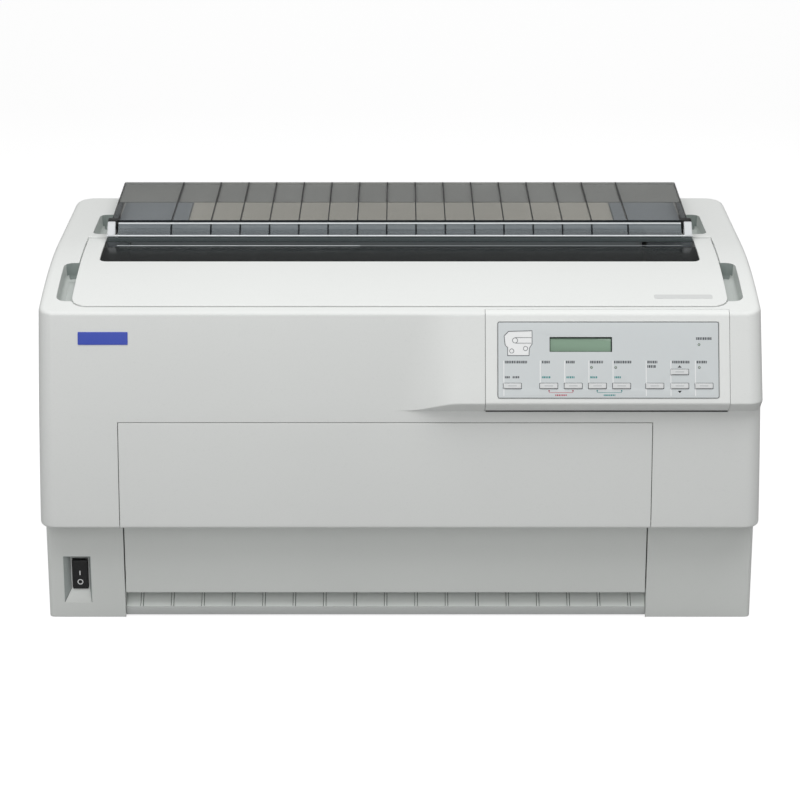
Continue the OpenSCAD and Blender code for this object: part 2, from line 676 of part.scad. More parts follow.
// ---- tractors ----
tractor_t = 20;
tractor_r = 14;
tractor_x = 205;
flap_w = 24;
flap_t = 2.5;
flap_pin_r = 1.5;
// A tractor centred on x = 0 with its feed face towards -Y, at the given shaft axis
// measured from the casing's middle depth
module tractor_body(outer) {
  difference() {
    union() {
      for (z = [0, tractor_h]) translate([-tractor_t / 2, 0, z]) rotate([0, 90, 0])
        cylinder(h = tractor_t, r = tractor_r);
      translate([-tractor_t / 2, -tractor_r, 0]) cube([tractor_t, 2 * tractor_r, tractor_h]);
      for (z = [-8, tractor_h + 2]) translate([outer * 13.4 - 3.4, -tractor_r - 2.8, z])
        cube([6.8, 9, 6]);
      translate([outer * 13.5, -tractor_r - 0.2, -6]) cylinder(h = tractor_h + 12, r = flap_pin_r);
    }
    translate([-far / 2, 0, 0]) rotate([0, 90, 0]) cylinder(h = far, r = shaft_r + pin_fit);
    translate([-far / 2, 0, tractor_h]) rotate([0, 90, 0])
      cylinder(h = far, r = tractor_rod_r + pin_fit);
  }
  for (i = [0:3]) translate([0, -tractor_r + 1, 4 + i * 14]) rotate([90, 0, 0])
    cylinder(h = 4.5, r = 1.8);
}
module tractor_flap(outer) difference() {
  union() {
    translate([outer * 13.5, -tractor_r - 0.2, 0]) cylinder(h = tractor_h, r = 3);
    translate([outer > 0 ? 13.5 - flap_w : -13.5, -tractor_r - 3.2, 0])
      cube([flap_w, flap_t, tractor_h]);
  }
  translate([outer * 13.5, -tractor_r - 0.2, -1]) cylinder(h = far, r = flap_pin_r + pin_fit);
  translate([-3, -far / 2, 1.5]) cube([6, far / 2, tractor_h - 3]);
}
module at_feed(axis, x, turned)
  translate([x, front_y + axis[0], axis[1]]) mirror([0, turned, 0]) children();
module tractor(axis, side, turned) color([0.2, 0.2, 0.22])
  at_feed(axis, paper_x + side * tractor_x, turned) tractor_body(side);
module flap(axis, side, turned) color([0.3, 0.3, 0.33])
  at_feed(axis, paper_x + side * tractor_x, turned) tractor_flap(side);

// ---- print carriage ----
carriage_a = [122, 184];
carriage_z = [246, 272];
module carriage() color(black) difference() {
  union() {
    block(paper_x - 32, paper_x + 32, carriage_a[0], carriage_a[1], carriage_z[0], carriage_z[1]);
    block(paper_x - 8, paper_x + 8, 134, 144, 227, carriage_z[0]);
  }
  for (axis = rod_axes)
    rod_x(paper_x - 40, paper_x + 40, axis[0], axis[1], rod_r + pin_fit);
  block(paper_x - 9, paper_x + 9, belt_axis_a - belt_pulley_r - 2.1, belt_axis_a - belt_pulley_r,
    220, belt_z[1] + gap);
}
module print_head() color([0.35, 0.36, 0.38]) {
  block(paper_x - 18, paper_x + 18, 140, 176, carriage_z[1], 300);
  for (i = [0:4]) block(paper_x - 24, paper_x + 24, 142 + i * 6, 145 + i * 6, 276, 302);
  block(paper_x - 8, paper_x + 8, 175, 184.5, 284, 296);
}
module belt_loop(extra) {
  for (side = [-1, 1]) translate([paper_x + side * pulley_x, belt_axis_a])
    circle(belt_pulley_r + extra);
  translate([paper_x, belt_axis_a]) square([2 * pulley_x, 2 * (belt_pulley_r + extra)], center = true);
}
module carriage_belt() color(black) upward(belt_z[0], belt_z[1]) difference() {
  belt_loop(gap + 1.5);
  belt_loop(gap);
}
module belt_pulley(x) {
  rod_z(x, belt_axis_a, belt_z[0] - 1, belt_z[1] + 1, belt_pulley_r);
  for (z = [belt_z[0] - 2.2, belt_z[1] + 0.8]) rod_z(x, belt_axis_a, z, z + 1.4, belt_pulley_r + 2);
}
motor_shaft_r = 2.5;
motor_top = 223.5;
module drive_pulley() color(steel) {
  belt_pulley(paper_x - pulley_x);
  rod_z(paper_x - pulley_x, belt_axis_a, motor_top - 12, belt_z[0], motor_shaft_r);
}
module idler_pulley() color(steel) difference() {
  belt_pulley(paper_x + pulley_x);
  rod_z(paper_x + pulley_x, belt_axis_a, 200, far, idler_pin_r + pin_fit);
}
module carriage_motor() color([0.25, 0.25, 0.27]) difference() {
  block(frame_x0, frame_x0 + 44, belt_axis_a - 22, belt_axis_a + 22, motor_top - 46, motor_top);
  rod_z(paper_x - pulley_x, belt_axis_a, motor_top - 13, motor_top + 1, motor_shaft_r + pin_fit);
}

// ---- ribbon ----
ribbon_half = 231;
knob_spot = [paper_x - 200, 91];
module ribbon_cartridge() color(black) difference() {
  union() {
    block(paper_x - ribbon_half, paper_x + ribbon_half, 66, 116, cartridge_z[0], cartridge_z[1]);
    both_ends() across(ribbon_half - 16, ribbon_half)
      polygon([[114, 286], [188, 284], [192, 287], [192, 296], [188, 299], [114, 304]]);
    block(paper_x - ribbon_half + 15, paper_x + ribbon_half - 15, 185.5, 186.1, 284.5, 296.5);
  }
  rod_z(knob_spot[0], knob_spot[1], cartridge_z[1] - 12, far, 4 + pin_fit);
}
module ribbon_knob() color([0.15, 0.15, 0.16]) {
  rod_z(knob_spot[0], knob_spot[1], cartridge_z[1] - 11, cartridge_z[1] + 2, 4);
  rod_z(knob_spot[0], knob_spot[1], cartridge_z[1] + gap, cartridge_z[1] + 6, 10);
  for (i = [0:11]) translate([knob_spot[0], front_y + knob_spot[1], cartridge_z[1] + gap])
    rotate([0, 0, 30 * i]) translate([9, -1, 0]) cube([2, 2, 5.7]);
}

// ---- electrics ----
module power_supply() color(steel) difference() {
  block(-340, -284, 110, 330, floor_top, 95);
  for (i = [0:11]) block(-345, -338, 130 + i * 15, 138 + i * 15, 30, 80);
}
board_top = 21.6;
module main_board() color([0.15, 0.4, 0.2]) {
  block(-230, 212, 190, 340, board_top - 1.6, board_top);
  for (x = [-222, -10, 204], a = [196, 334]) rod_z(x, a, floor_top + plate_t, board_top - 1, 4);
  for (i = [0:3]) block(-200 + i * 70, -165 + i * 70, 215, 250, board_top - 0.5, board_top + 5);
  for (i = [0:5]) block(-190 + i * 18, -186 + i * 18, 280, 325, board_top - 0.5, board_top + 24);
  for (i = [0:4]) rod_z(30 + i * 26, 305, board_top - 0.5, board_top + 26, 9);
}
fan_a = [rear_wall_a - 22, rear_wall_a];
module fan_frame() color(black) {
  difference() {
    block(fan_mid[0] - 30, fan_mid[0] + 30, fan_a[0], fan_a[1], fan_mid[1] - 30, fan_mid[1] + 30);
    rod_y(fan_mid[0], fan_a[0] - 1, fan_a[1] + 1, fan_mid[1], fan_r);
  }
  for (side = [-1, 1]) translate([fan_mid[0], front_y + fan_a[1] - 1.5, fan_mid[1]])
    rotate([0, side * 45, 0]) cube([2 * fan_r + 1, 3, 4], center = true);
  rod_y(fan_mid[0], fan_a[1] - 4, fan_a[1], fan_mid[1], 10);
  rod_y(fan_mid[0], fan_a[0] + 6, fan_a[1] - 1, fan_mid[1], 1.5);
}
module fan_rotor() color([0.2, 0.2, 0.22]) difference() {
  union() {
    rod_y(fan_mid[0], fan_a[0] + 2, fan_a[1] - 4.5, fan_mid[1], 9.5);
    for (i = [0:6]) translate([fan_mid[0], front_y + fan_a[0] + 10, fan_mid[1]])
      rotate([0, i * 360 / 7, 0]) translate([8, 0, 0]) rotate([35, 0, 0])
        translate([0, -0.8, -7]) cube([fan_r - 10, 1.6, 14]);
  }
  rod_y(fan_mid[0], fan_a[0], fan_a[1], fan_mid[1], 1.5 + pin_fit);
}

lower_housing();
upper_housing();
printer_cover();
cover_window();
output_cover();
tear_bar();
cover_end_caps();
front_cover();
rear_cover();
entry_guide();
exit_guide();
panel_bezel();
panel_overlay();
lcd_module();
panel_board();
key(0);  // key_tractor
key(1);  // key_font
key(2);  // key_pitch
key(3);  // key_tear_off
key(4);  // key_top_of_form
key(5);  // key_line_feed
key(6);  // key_feed_up
key(7);  // key_feed_down
key(8);  // key_pause
badge_plate();
switch_surround();
switch_rocker();
rubber_feet();
power_inlet();
interface_ports();
base_plate();
side_frame_left();
side_frame_right();
guide_rods();
platen();
carriage();
print_head();
carriage_belt();
drive_pulley();
idler_pulley();
carriage_motor();
ribbon_cartridge();
ribbon_knob();
feed_shaft(front_feed);  // front_feed_shaft
feed_shaft(rear_feed);  // rear_feed_shaft
tractor(front_feed, -1, 0);  // front_tractor_left
tractor(front_feed, 1, 0);  // front_tractor_right
tractor(rear_feed, -1, 1);  // rear_tractor_left
tractor(rear_feed, 1, 1);  // rear_tractor_right
flap(front_feed, -1, 0);  // front_flap_left
flap(front_feed, 1, 0);  // front_flap_right
flap(rear_feed, -1, 1);  // rear_flap_left
flap(rear_feed, 1, 1);  // rear_flap_right
feed_motor();
feed_pulley();
feed_belt();
power_supply();
main_board();
fan_frame();
fan_rotor();
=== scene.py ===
from math import copysign, cos, hypot, pi, radians, sin, tan

import bmesh
import bpy
from mathutils import Matrix, Vector
from mathutils.geometry import delaunay_2d_cdt


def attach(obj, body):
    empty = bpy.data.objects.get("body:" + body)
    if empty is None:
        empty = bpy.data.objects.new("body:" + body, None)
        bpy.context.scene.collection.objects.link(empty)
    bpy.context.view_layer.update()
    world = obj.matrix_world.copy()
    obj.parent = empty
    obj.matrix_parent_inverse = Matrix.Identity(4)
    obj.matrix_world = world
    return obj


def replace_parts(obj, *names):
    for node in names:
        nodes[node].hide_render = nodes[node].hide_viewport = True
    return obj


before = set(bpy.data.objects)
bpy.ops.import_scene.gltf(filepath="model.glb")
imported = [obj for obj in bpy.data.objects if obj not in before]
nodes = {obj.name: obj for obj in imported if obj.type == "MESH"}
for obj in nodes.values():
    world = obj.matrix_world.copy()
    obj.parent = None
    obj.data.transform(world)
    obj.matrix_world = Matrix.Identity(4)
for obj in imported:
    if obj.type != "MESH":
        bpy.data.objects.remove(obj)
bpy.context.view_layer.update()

# ---- the studio ----
# A pale seamless floor, soft lamps above and in front, and a camera a little
# above the desk. None of it belongs to the printer.
scene = bpy.context.scene
scene.view_settings.view_transform = "Standard"


def in_scene(name, data):
    thing = bpy.data.objects.new(name, data)
    scene.collection.objects.link(thing)
    return thing


camera = in_scene("camera", bpy.data.cameras.new("camera"))
camera.data.sensor_width = 36
camera.data.lens = 117.5
camera.data.clip_end = 50
camera_lift = radians(18.57)
camera_away = 2.4928
camera_aim = Vector((0.0003, -0.191, 0.2376))
camera.location = camera_aim + camera_away * Vector((0, -cos(camera_lift), sin(camera_lift)))
camera.rotation_euler = (pi / 2 - camera_lift, 0, 0)
scene.camera = camera


def shade(red, green, blue):
    """A colour given as it shows on a screen, from 0 to 255, as scene light."""
    levels = (red / 255, green / 255, blue / 255)
    return (*(level / 12.92 if level <= 0.04045 else ((level + 0.055) / 1.055) ** 2.4
              for level in levels), 1.0)


def set_inputs(tree, node, values):
    """Sets a node's inputs to values or joins them to outputs."""
    for label, value in values.items():
        if isinstance(value, bpy.types.NodeSocket):
            tree.links.new(value, node.inputs[label])
        else:
            node.inputs[label].default_value = value


def add_node(tree, kind, inputs=None, **settings):
    node = tree.nodes.new(kind)
    for name, value in settings.items():
        setattr(node, name, value)
    set_inputs(tree, node, inputs or {})
    return node


def maths(tree, how, first, second, **settings):
    node = add_node(tree, "ShaderNodeMath", {0: first, 1: second}, operation=how, **settings)
    return node.outputs[0]


def noise(tree, scale, detail, **more):
    node = add_node(tree, "ShaderNodeTexNoise", {"Scale": scale, "Detail": detail, **more})
    return node.outputs["Fac"]


def spread_over(tree, value, low, high, start=0.0, end=1.0):
    """A value between start and end, stretched to run from low to high."""
    return add_node(tree, "ShaderNodeMapRange", {"Value": value, "From Min": start, "From Max": end,
                    "To Min": low, "To Max": high}).outputs[0]


def blend(tree, share, first, second):
    return add_node(tree, "ShaderNodeMix", {"Factor": share, "A": first, "B": second},
                    data_type="RGBA").outputs["Result"]


def looked_at(tree):
    """1 where the camera looks, straight or through glass, and 0 for all other light."""
    path = add_node(tree, "ShaderNodeLightPath").outputs
    return maths(tree, "MAXIMUM", path["Is Camera Ray"], path["Is Transmission Ray"])


floor_finish = bpy.data.materials.new("pale_floor")
floor_finish.use_nodes = True
tree = floor_finish.node_tree
tree.nodes.clear()
tone = spread_over(tree, noise(tree, 3.0, 2.0), 0.4, 0.44)
plain = add_node(tree, "ShaderNodeBsdfDiffuse", {"Color": tone})
glow = add_node(tree, "ShaderNodeEmission", {"Color": (1, 1, 1, 1),
                "Strength": maths(tree, "MULTIPLY", looked_at(tree), 0.78)})
both = add_node(tree, "ShaderNodeAddShader", {0: plain.outputs[0], 1: glow.outputs[0]})
add_node(tree, "ShaderNodeOutputMaterial", {0: both.outputs[0]})

floor_mesh = bpy.data.meshes.new("studio_floor")
reach, bend_y, bend_r, wall_top, bend_steps = 6, 2.2, 1.6, 5, 12
sweep = [(-reach, 0), (bend_y, 0)]
for step in range(1, bend_steps + 1):
    turn = pi / 2 * step / bend_steps
    sweep.append((bend_y + bend_r * sin(turn), bend_r - bend_r * cos(turn)))
sweep.append((3.8, wall_top))
floor_mesh.from_pydata([(side * reach, y, z) for y, z in sweep for side in (-1, 1)], [],
                       [(2 * i, 2 * i + 1, 2 * i + 3, 2 * i + 2) for i in range(len(sweep) - 1)])
floor_mesh.shade_smooth()
floor_mesh.materials.append(floor_finish)
in_scene("studio_floor", floor_mesh)

world = bpy.data.worlds.new("studio_air")
scene.world = world
world.use_nodes = True
tree = world.node_tree
tree.nodes.clear()
air, bright = (add_node(tree, "ShaderNodeBackground", {"Color": (1, 1, 1, 1), "Strength": strength})
               for strength in (0.34, 1.0))
mix = add_node(tree, "ShaderNodeMixShader", {0: looked_at(tree), 1: air.outputs[0],
               2: bright.outputs[0]})
add_node(tree, "ShaderNodeOutputWorld", {0: mix.outputs[0]})


def soft_lamp(name, place, aim, size, power):
    lamp = bpy.data.lights.new(name, "AREA")
    lamp.shape = "RECTANGLE"
    lamp.size, lamp.size_y = size
    lamp.energy = power
    holder = in_scene(name, lamp)
    holder.location = place
    holder.rotation_euler = (Vector(aim) - Vector(place)).to_track_quat("-Z", "Y").to_euler()


lamp_aim = (0, -0.1, 0.2)
soft_lamp("overhead", (0.1, -0.6, 2.4), lamp_aim, (3.2, 2.4), 47)
soft_lamp("front_fill", (-0.9, -2.6, 1.5), lamp_aim, (2.0, 1.6), 13)

# ---- base casing ----
# The lower half of the shell: a grey moulded tray with upright walls, open at the
# front for the paper entry. Injection moulded, its edges eased, the walls 3.2 mm.
front_y = -191.0


def at(x, depth, height):
    """A place in millimetres: across, behind the casing's foremost line, above the desk."""
    return Vector((x / 1000, (depth + front_y) / 1000, height / 1000))


def new_piece(name, points, faces):
    mesh = bpy.data.meshes.new(name)
    mesh.from_pydata(points, [], faces)
    return in_scene(name, mesh)


def settle(piece):
    """Turns a piece's modifiers into its plain mesh."""
    bpy.context.view_layer.update()
    graph = bpy.context.evaluated_depsgraph_get()
    made = bpy.data.meshes.new_from_object(piece.evaluated_get(graph),
                                           preserve_all_data_layers=True, depsgraph=graph)
    piece.modifiers.clear()
    old = piece.data
    piece.data = made
    made.name = piece.name
    bpy.data.meshes.remove(old)


def mould(piece, wall=0.0, edge=0.6, steps=2, limit=38, outward=False):
    """Joins a net's points, gives a shell its wall and eases its sharp edges, in millimetres."""
    shape = bmesh.new()
    shape.from_mesh(piece.data)
    bmesh.ops.remove_doubles(shape, verts=shape.verts, dist=0.00002)
    bmesh.ops.delete(shape, geom=[v for v in shape.verts if not v.link_faces], context="VERTS")
    if outward:
        bmesh.ops.recalc_face_normals(shape, faces=shape.faces)
    shape.to_mesh(piece.data)
    shape.free()
    piece.data.shade_smooth()
    if wall:
        thick = piece.modifiers.new("wall", "SOLIDIFY")
        thick.thickness = wall / 1000
        thick.offset = -1
        thick.use_even_offset = True
    if edge:
        ease = piece.modifiers.new("eased_edges", "BEVEL")
        ease.width = edge / 1000
        ease.segments = steps
        ease.limit_method = "ANGLE"
        ease.angle_limit = radians(limit)
        ease.use_clamp_overlap = False
    level = piece.modifiers.new("even_shading", "WEIGHTED_NORMAL")
    level.keep_sharp = True
    settle(piece)
    return piece


def dress(piece, body, finish, slot, *stands_for):
    """Gives a piece its material and its body, and hides the parts it stands for. The slot is not used.
    """
    if finish is not None:
        piece.data.materials.clear()
        piece.data.materials.append(finish)
    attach(piece, body)
    if stands_for:
        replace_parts(piece, *stands_for)
    return piece


def add_net(net, points, faces):
    """Adds a net of points and faces to another, which is a pair of lists."""
    shift = len(net[0])
    net[0].extend(points)
    net[1].extend(tuple(shift + i for i in face) for face in faces)


def grid_faces(rows, keep=None, ring=False):
    """Points and four-sided faces of a net of rows, with the cells left out that keep refuses."""
    across = len(rows[0])
    faces = []
    for i in range(len(rows) - 1):
        for j in range(across if ring else across - 1):
            k = (j + 1) % across
            if keep is None or keep(i, j, k):
                faces.append((i * across + j, i * across + k, (i + 1) * across + k,
                              (i + 1) * across + j))
    return [p for row in rows for p in row], faces


def box_piece(name, boxes, edge=0.4, steps=2):
    """Separate blocks, each given as its sides in x, depth and height, with eased edges."""
    net = [], []
    for x0, x1, a0, a1, z0, z1 in boxes:
        plan = ((x0, a0), (x1, a0), (x1, a1), (x0, a1))
        ends = [(3, 2, 1, 0), (4, 5, 6, 7)]
        sides = [(i, (i + 1) % 4, 4 + (i + 1) % 4, 4 + i) for i in range(4)]
        add_net(net, [at(x, a, z) for z in (z0, z1) for x, a in plan], ends + sides)
    piece = new_piece(name, *net)
    ease = piece.modifiers.new("eased_edges", "BEVEL")
    ease.width = edge / 1000
    ease.segments = steps
    piece.data.shade_smooth()
    piece.modifiers.new("even_shading", "WEIGHTED_NORMAL")
    settle(piece)
    return piece


def texture_group(name, inputs):
    """A node group from these inputs to a material's colour, roughness and normal."""
    group = bpy.data.node_groups.new(name, "ShaderNodeTree")
    for label, start in inputs.items():
        kind = {1: "Float", 3: "Vector", 4: "Color"}[len(start) if isinstance(start, tuple) else 1]
        socket = group.interface.new_socket(label, in_out="INPUT", socket_type="NodeSocket" + kind)
        socket.default_value = start
    for label, kind in (("Colour", "Color"), ("Roughness", "Float"), ("Normal", "Vector")):
        group.interface.new_socket(label, in_out="OUTPUT", socket_type="NodeSocket" + kind)
    place = add_node(group, "ShaderNodeTexCoord").outputs["Object"]
    return group, group.nodes.new("NodeGroupInput").outputs, place


def end_group(group, colour, tone, rough, height, relief, distance):
    """Joins a texture group's outputs: the colour with its tone changed, and the bumps."""
    tinted = add_node(group, "ShaderNodeVectorMath",
                      {0: colour, "Scale": maths(group, "ADD", tone, 1.0)}, operation="SCALE")
    bump = add_node(group, "ShaderNodeBump", {"Height": height, "Strength": relief,
                    "Distance": distance})
    add_node(group, "NodeGroupOutput", {"Colour": tinted.outputs[0], "Roughness": rough,
             "Normal": bump.outputs[0]})
    return group


def moulded_grain_group():
    """Spark-eroded mould texture with slow drifts of tone and a few settled specks."""
    group, given, place = texture_group("moulded_grain", {
        "Colour": (0.8, 0.8, 0.8, 1), "Tone Drift": 0.03, "Grain Scale": 1500.0,
        "Grain Relief": 0.12, "Gloss": 0.5, "Dust": 0.02})
    swing = spread_over(group, noise(group, 5.0, 3.0, Vector=place), -1.0, 1.0, 0.3, 0.7)
    speck = spread_over(group, noise(group, 420.0, 2.0, Vector=place), 0.0, 1.0, 0.58, 0.74)
    grain = noise(group, given["Grain Scale"], 2.0, Vector=place, Roughness=0.6)
    tone = maths(group, "SUBTRACT", maths(group, "MULTIPLY", swing, given["Tone Drift"]),
                 maths(group, "MULTIPLY", speck, given["Dust"]))
    rough = maths(group, "ADD", spread_over(group, grain, -0.09, 0.09), given["Gloss"])
    return end_group(group, given["Colour"], tone, rough, grain, given["Grain Relief"], 0.0004)


def new_material(name):
    """A material, its nodes and the node that makes its surface."""
    finish = bpy.data.materials.new(name)
    finish.use_nodes = True
    return finish, finish.node_tree, finish.node_tree.nodes["Principled BSDF"]


def textured(name, group, given, surface_values):
    """A material whose colour, roughness and normal come from a texture group."""
    finish, tree, surface = new_material(name)
    made = add_node(tree, "ShaderNodeGroup", given, node_tree=group).outputs
    set_inputs(tree, surface, {"Base Color": made["Colour"], "Roughness": made["Roughness"],
                               "Normal": made["Normal"], **surface_values})
    return finish


moulded_grain = moulded_grain_group()


def moulded(name, colour, drift=0.02, scale=1500.0, relief=0.12, gloss=0.5, dust=0.02, level=0.4,
            coat=0.0, metal=0.0):
    """A moulded plastic (or cast) material built on the mould texture."""
    return textured(name, moulded_grain, {
        "Colour": colour, "Tone Drift": drift, "Grain Scale": scale, "Grain Relief": relief,
        "Gloss": gloss, "Dust": dust}, {
        "Specular IOR Level": level, "Coat Weight": coat, "Coat Roughness": 0.15,
        "Metallic": metal})


base_grey = moulded("base_grey_moulding", shade(229, 232, 229), drift=0.015, gloss=0.52)
base_half, base_front, base_rear, base_round = 347.8, 29.0, 374.0, 5.0
base_low, base_top = 0.4, 105.8
bay_left, bay_right = -272.0, 244.0
# Holes in the base's walls: lowest and highest x, lowest and highest z.
switch_hole = (-331.8, -305.4, 16.1, 64.8)
inlet_hole = (-325.3, -296.7, 29.3, 53.7)
sockets_hole = (122, 218, 20, 57.3)
fan_hole = (278, 322, 29.3, 74.7)
rear_holes = (inlet_hole, sockets_hole, fan_hole)


def quarter(steps):
    """The shares of its first and second side that lie beyond each point of a quarter arc."""
    turns = [radians(90 * i / steps) for i in range(steps + 1)]
    return [(1 - sin(turn), 1 - cos(turn)) for turn in turns]


def ring_stations(front_xs, side_steps, rear_xs, arc_steps=8):
    """Stations round a casing's plan, from front left, going right, back and round again."""
    arc = [90.0 * i / arc_steps for i in range(1, arc_steps)]
    line = [i / side_steps for i in range(side_steps + 1)]
    right = ([("front_corner", t, 1) for t in arc] + [("side", t, 1) for t in line]
             + [("rear_corner", t, 1) for t in arc])
    left = [(kind, t, -1) for kind, t, _ in reversed(right)]
    return ([("front", x, 1) for x in front_xs] + right + [("rear", x, 1) for x in reversed(rear_xs)]
            + left)


def base_point(station, height, inset):
    kind, t, side = station
    inner = base_half - base_round
    if kind == "front":
        return at(t, base_front + inset, height)
    if kind == "rear":
        return at(t, base_rear - inset, height)
    if kind == "side":
        depth = base_front + base_round + t * (base_rear - base_front - 2 * base_round)
        return at(side * (base_half - inset), depth, height)
    turn = radians(t)
    r = base_round - inset
    if kind == "front_corner":
        return at(side * (inner + r * sin(turn)), base_front + base_round - r * cos(turn), height)
    return at(side * (inner + r * cos(turn)), base_rear - base_round + r * sin(turn), height)


base_front_xs = [-335, *switch_hole[:2], -290, bay_left, -150, 0, 120, bay_right, 290, 335]
base_rear_xs = [-335, *inlet_hole[:2], -240, -160, -80, 0, 60, *sockets_hole[:2], 250,
                *fan_hole[:2], 335]
base_levels = sorted({z for hole in (switch_hole, *rear_holes) for z in hole[2:]} | {42, 90, 100})
base_stations = ring_stations(base_front_xs, 8, base_rear_xs)
base_ease = 0.9
base_outline = [(base_low, 4)]
base_outline += [(base_low + base_ease * up, base_ease * inward) for inward, up in quarter(3)]
base_outline += [(level, 0) for level in base_levels] + [(base_top, 0), (base_top, 3)]
base_rows = [[base_point(s, z, inset) for s in base_stations] for z, inset in base_outline]
cell_levels = [z if z in base_levels else -1 for z, _ in base_outline]


def in_hole(x, z, hole):
    return hole[0] < x < hole[1] and hole[2] <= z < hole[3]


def base_keep(i, j, k):
    """False where the base casing is open: paper bay, switch, inlet, sockets and fan."""
    (kind, t0, _), (other, t1, _) = base_stations[j], base_stations[k]
    if kind != other or kind not in ("front", "rear"):
        return True
    x = (t0 + t1) / 2
    if kind == "front":
        return not (bay_left < x < bay_right or in_hole(x, cell_levels[i], switch_hole))
    return not any(in_hole(x, cell_levels[i], hole) for hole in rear_holes)


base_casing = new_piece("base_casing", *grid_faces(base_rows, base_keep, ring=True))
dress(mould(base_casing, wall=3.2, edge=0.7), "chassis", base_grey, "base_casing", "lower_housing")

# The scoop round the power switch narrows to a small opening 5 mm behind the front.
# Its foot, a ramp, is in the casing's grey, and its other sides are painted darker, painted shade.
rim_levels = [z for z in base_levels if switch_hole[2] <= z <= switch_hole[3]]
scoop_x, scoop_z, scoop_a = (-325.4, -307.3), (28.8, 61.9), 34.0
rim, scoop = [], []
for x, inner_x, levels in ((switch_hole[0], scoop_x[0], rim_levels),
                           (switch_hole[1], scoop_x[1], rim_levels[::-1])):
    for z in levels:
        share = (z - rim_levels[0]) / (rim_levels[-1] - rim_levels[0])
        rim.append(at(x, base_front, z))
        scoop.append(at(inner_x, scoop_a, scoop_z[0] + share * (scoop_z[1] - scoop_z[0])))
ramp_cell = len(rim) - 1
scoop_shade_grey = moulded("scoop_shadow_grey", shade(168, 175, 173), drift=0.02, gloss=0.55)
for name, finish, is_ramp in (("switch_scoop_sides", scoop_shade_grey, False),
                              ("switch_scoop_ramp", base_grey, True)):
    points, faces = grid_faces([rim, scoop], lambda i, j, k: (j == ramp_cell) == is_ramp, ring=True)
    scoop_part = new_piece(name, points, [tuple(reversed(face)) for face in faces])
    dress(mould(scoop_part, wall=2.4, edge=0), "chassis", finish, "base_casing")

base_inside = [(-343, 343, 66, 366, 1.5, 5.4), (-343, -275.6, 34, 66, 1.5, 5.4),
               (247.6, 343, 34, 66, 1.5, 5.4), (-275.4, 247.4, 37, 66, 1.5, 5.4)]
base_cheeks = [(-275.5, -272, 30, 62, 1.1, 105.7), (244, 247.5, 30, 62, 1.1, 105.7)]
dress(box_piece("base_floor_and_cheeks", base_inside + base_cheeks, edge=0.5), "chassis",
      base_grey, "base_casing")

# ---- upper casing ----
# The pale shell over the mechanism: leaning front, domed deck and the chin that
# carries the key panel. One injection moulding, 3 mm thick, finely grained.
casing_grey = moulded("light_grey_moulding", shade(232, 234, 232), drift=0.012, gloss=0.5)
split_z, deck_z, casing_half, casing_depth = 106.1, 340.0, 350.0, 382.0
edge_a, edge_z = 34.4, 313.81
chin_a, chin_z, chin_under = 14.52, 233.0, 221.5
corner, back_corner, corner_x = 15.0, 20.0, 324


def face_at(z):
    """Depth of the leaning front face at a height."""
    return (z - split_z) * tan(radians(4.5)) + 0.00042 * (z - split_z) ** 2


def deck_at(a):
    """Height of the domed deck at a depth."""
    return deck_z - 26 * (max(0.0, 200 - a) / 165) ** 2


def limited(value):
    return min(1.0, max(0.0, value))


def rounder(first, second, reach):
    """The larger of two values, rounded off where they meet."""
    share = max(reach - abs(first - second), 0.0) / reach
    return max(first, second) + share * share * reach / 4


def chin_share(x):
    """0 where the front is plain and 1 where the chin stands full, with a soft step between."""
    t = limited((x + 5) / 63)
    return (t * t * (3 - 2 * t)) ** 1.5


def crease_z(x):
    return chin_under + max(0.5, (chin_z - chin_under) * chin_share(x))


def front_at(x, z):
    """Depth of the front at a place, with the chin under the key panel."""
    share = chin_share(x)
    plain = face_at(z)
    if share < 0.001 or z < chin_under - 3:
        return plain
    under = chin_a * (chin_z - z) / (chin_z - chin_under)
    start_a, start_z = chin_a * (1 - share), chin_under + share * (chin_z - chin_under)
    slope = start_a + (z - start_z) * (edge_a - start_a) / (edge_z - start_z)
    return -rounder(-plain, -rounder(under, slope, 1.6), 0.05 + 1.2 * share)


def spread(low, high, count):
    return [low + (high - low) * i / count for i in range(count + 1)]


panel_left, panel_right, panel_back, seam = 82.2, 315.8, 41.0, 0.35
casing_front_xs = sorted({-334, -324, -300, *spread(bay_left, -20, 9), *spread(-14, 76, 15),
                          panel_left - seam, 110, 140, 175, 210, bay_right, 270, 295,
                          panel_right + seam, 324, 334})
casing_rear_xs = [-324, -300, -280.5, bay_left, -262, -180, -90, 0, 90, 170, 234, bay_right,
                  252.5, 280, 324]
casing_stations = ring_stations(casing_front_xs, 14, casing_rear_xs, arc_steps=9)


def rear_share(station):
    kind, t, _ = station
    return {"side": t, "rear_corner": 1.0, "rear": 1.0}.get(kind, 0.0)


def casing_plan(station, z, inset, corner=corner):
    """The casing's plan outline at a height: a place and the direction inwards."""
    kind, t, side = station
    if kind == "front":
        return (t, front_at(t, z) + inset), (0.0, 1.0)
    if kind == "rear":
        return (t, casing_depth - inset), (0.0, -1.0)
    half = casing_half - 2.5 * limited((z - split_z) / (333 - split_z))
    start = front_at(side * corner_x, z) + corner
    if kind == "side":
        end = casing_depth - back_corner
        return (side * (half - inset), start + t * (end - start)), (-side, 0.0)
    turn = radians(t)
    if kind == "front_corner":
        r = corner - inset
        return ((side * (half - corner + r * sin(turn)), start - r * cos(turn)),
                (-side * sin(turn), cos(turn)))
    r = back_corner - inset
    return ((side * (half - back_corner + r * cos(turn)), casing_depth - back_corner + r * sin(turn)),
            (-side * cos(turn), -sin(turn)))


def station_round(station, at_front, at_side, at_rear, at_corner=0.0):
    """A radius that changes round the corners from front to side to rear."""
    kind, t, _ = station
    turn = radians(t)
    return {"front": at_front, "side": at_side, "rear": at_rear,
            "front_corner": (at_front + (at_side - at_front) * sin(turn) ** 2
                             + at_corner * sin(2 * turn)),
            "rear_corner": at_rear + (at_side - at_rear) * cos(turn) ** 2}[kind]


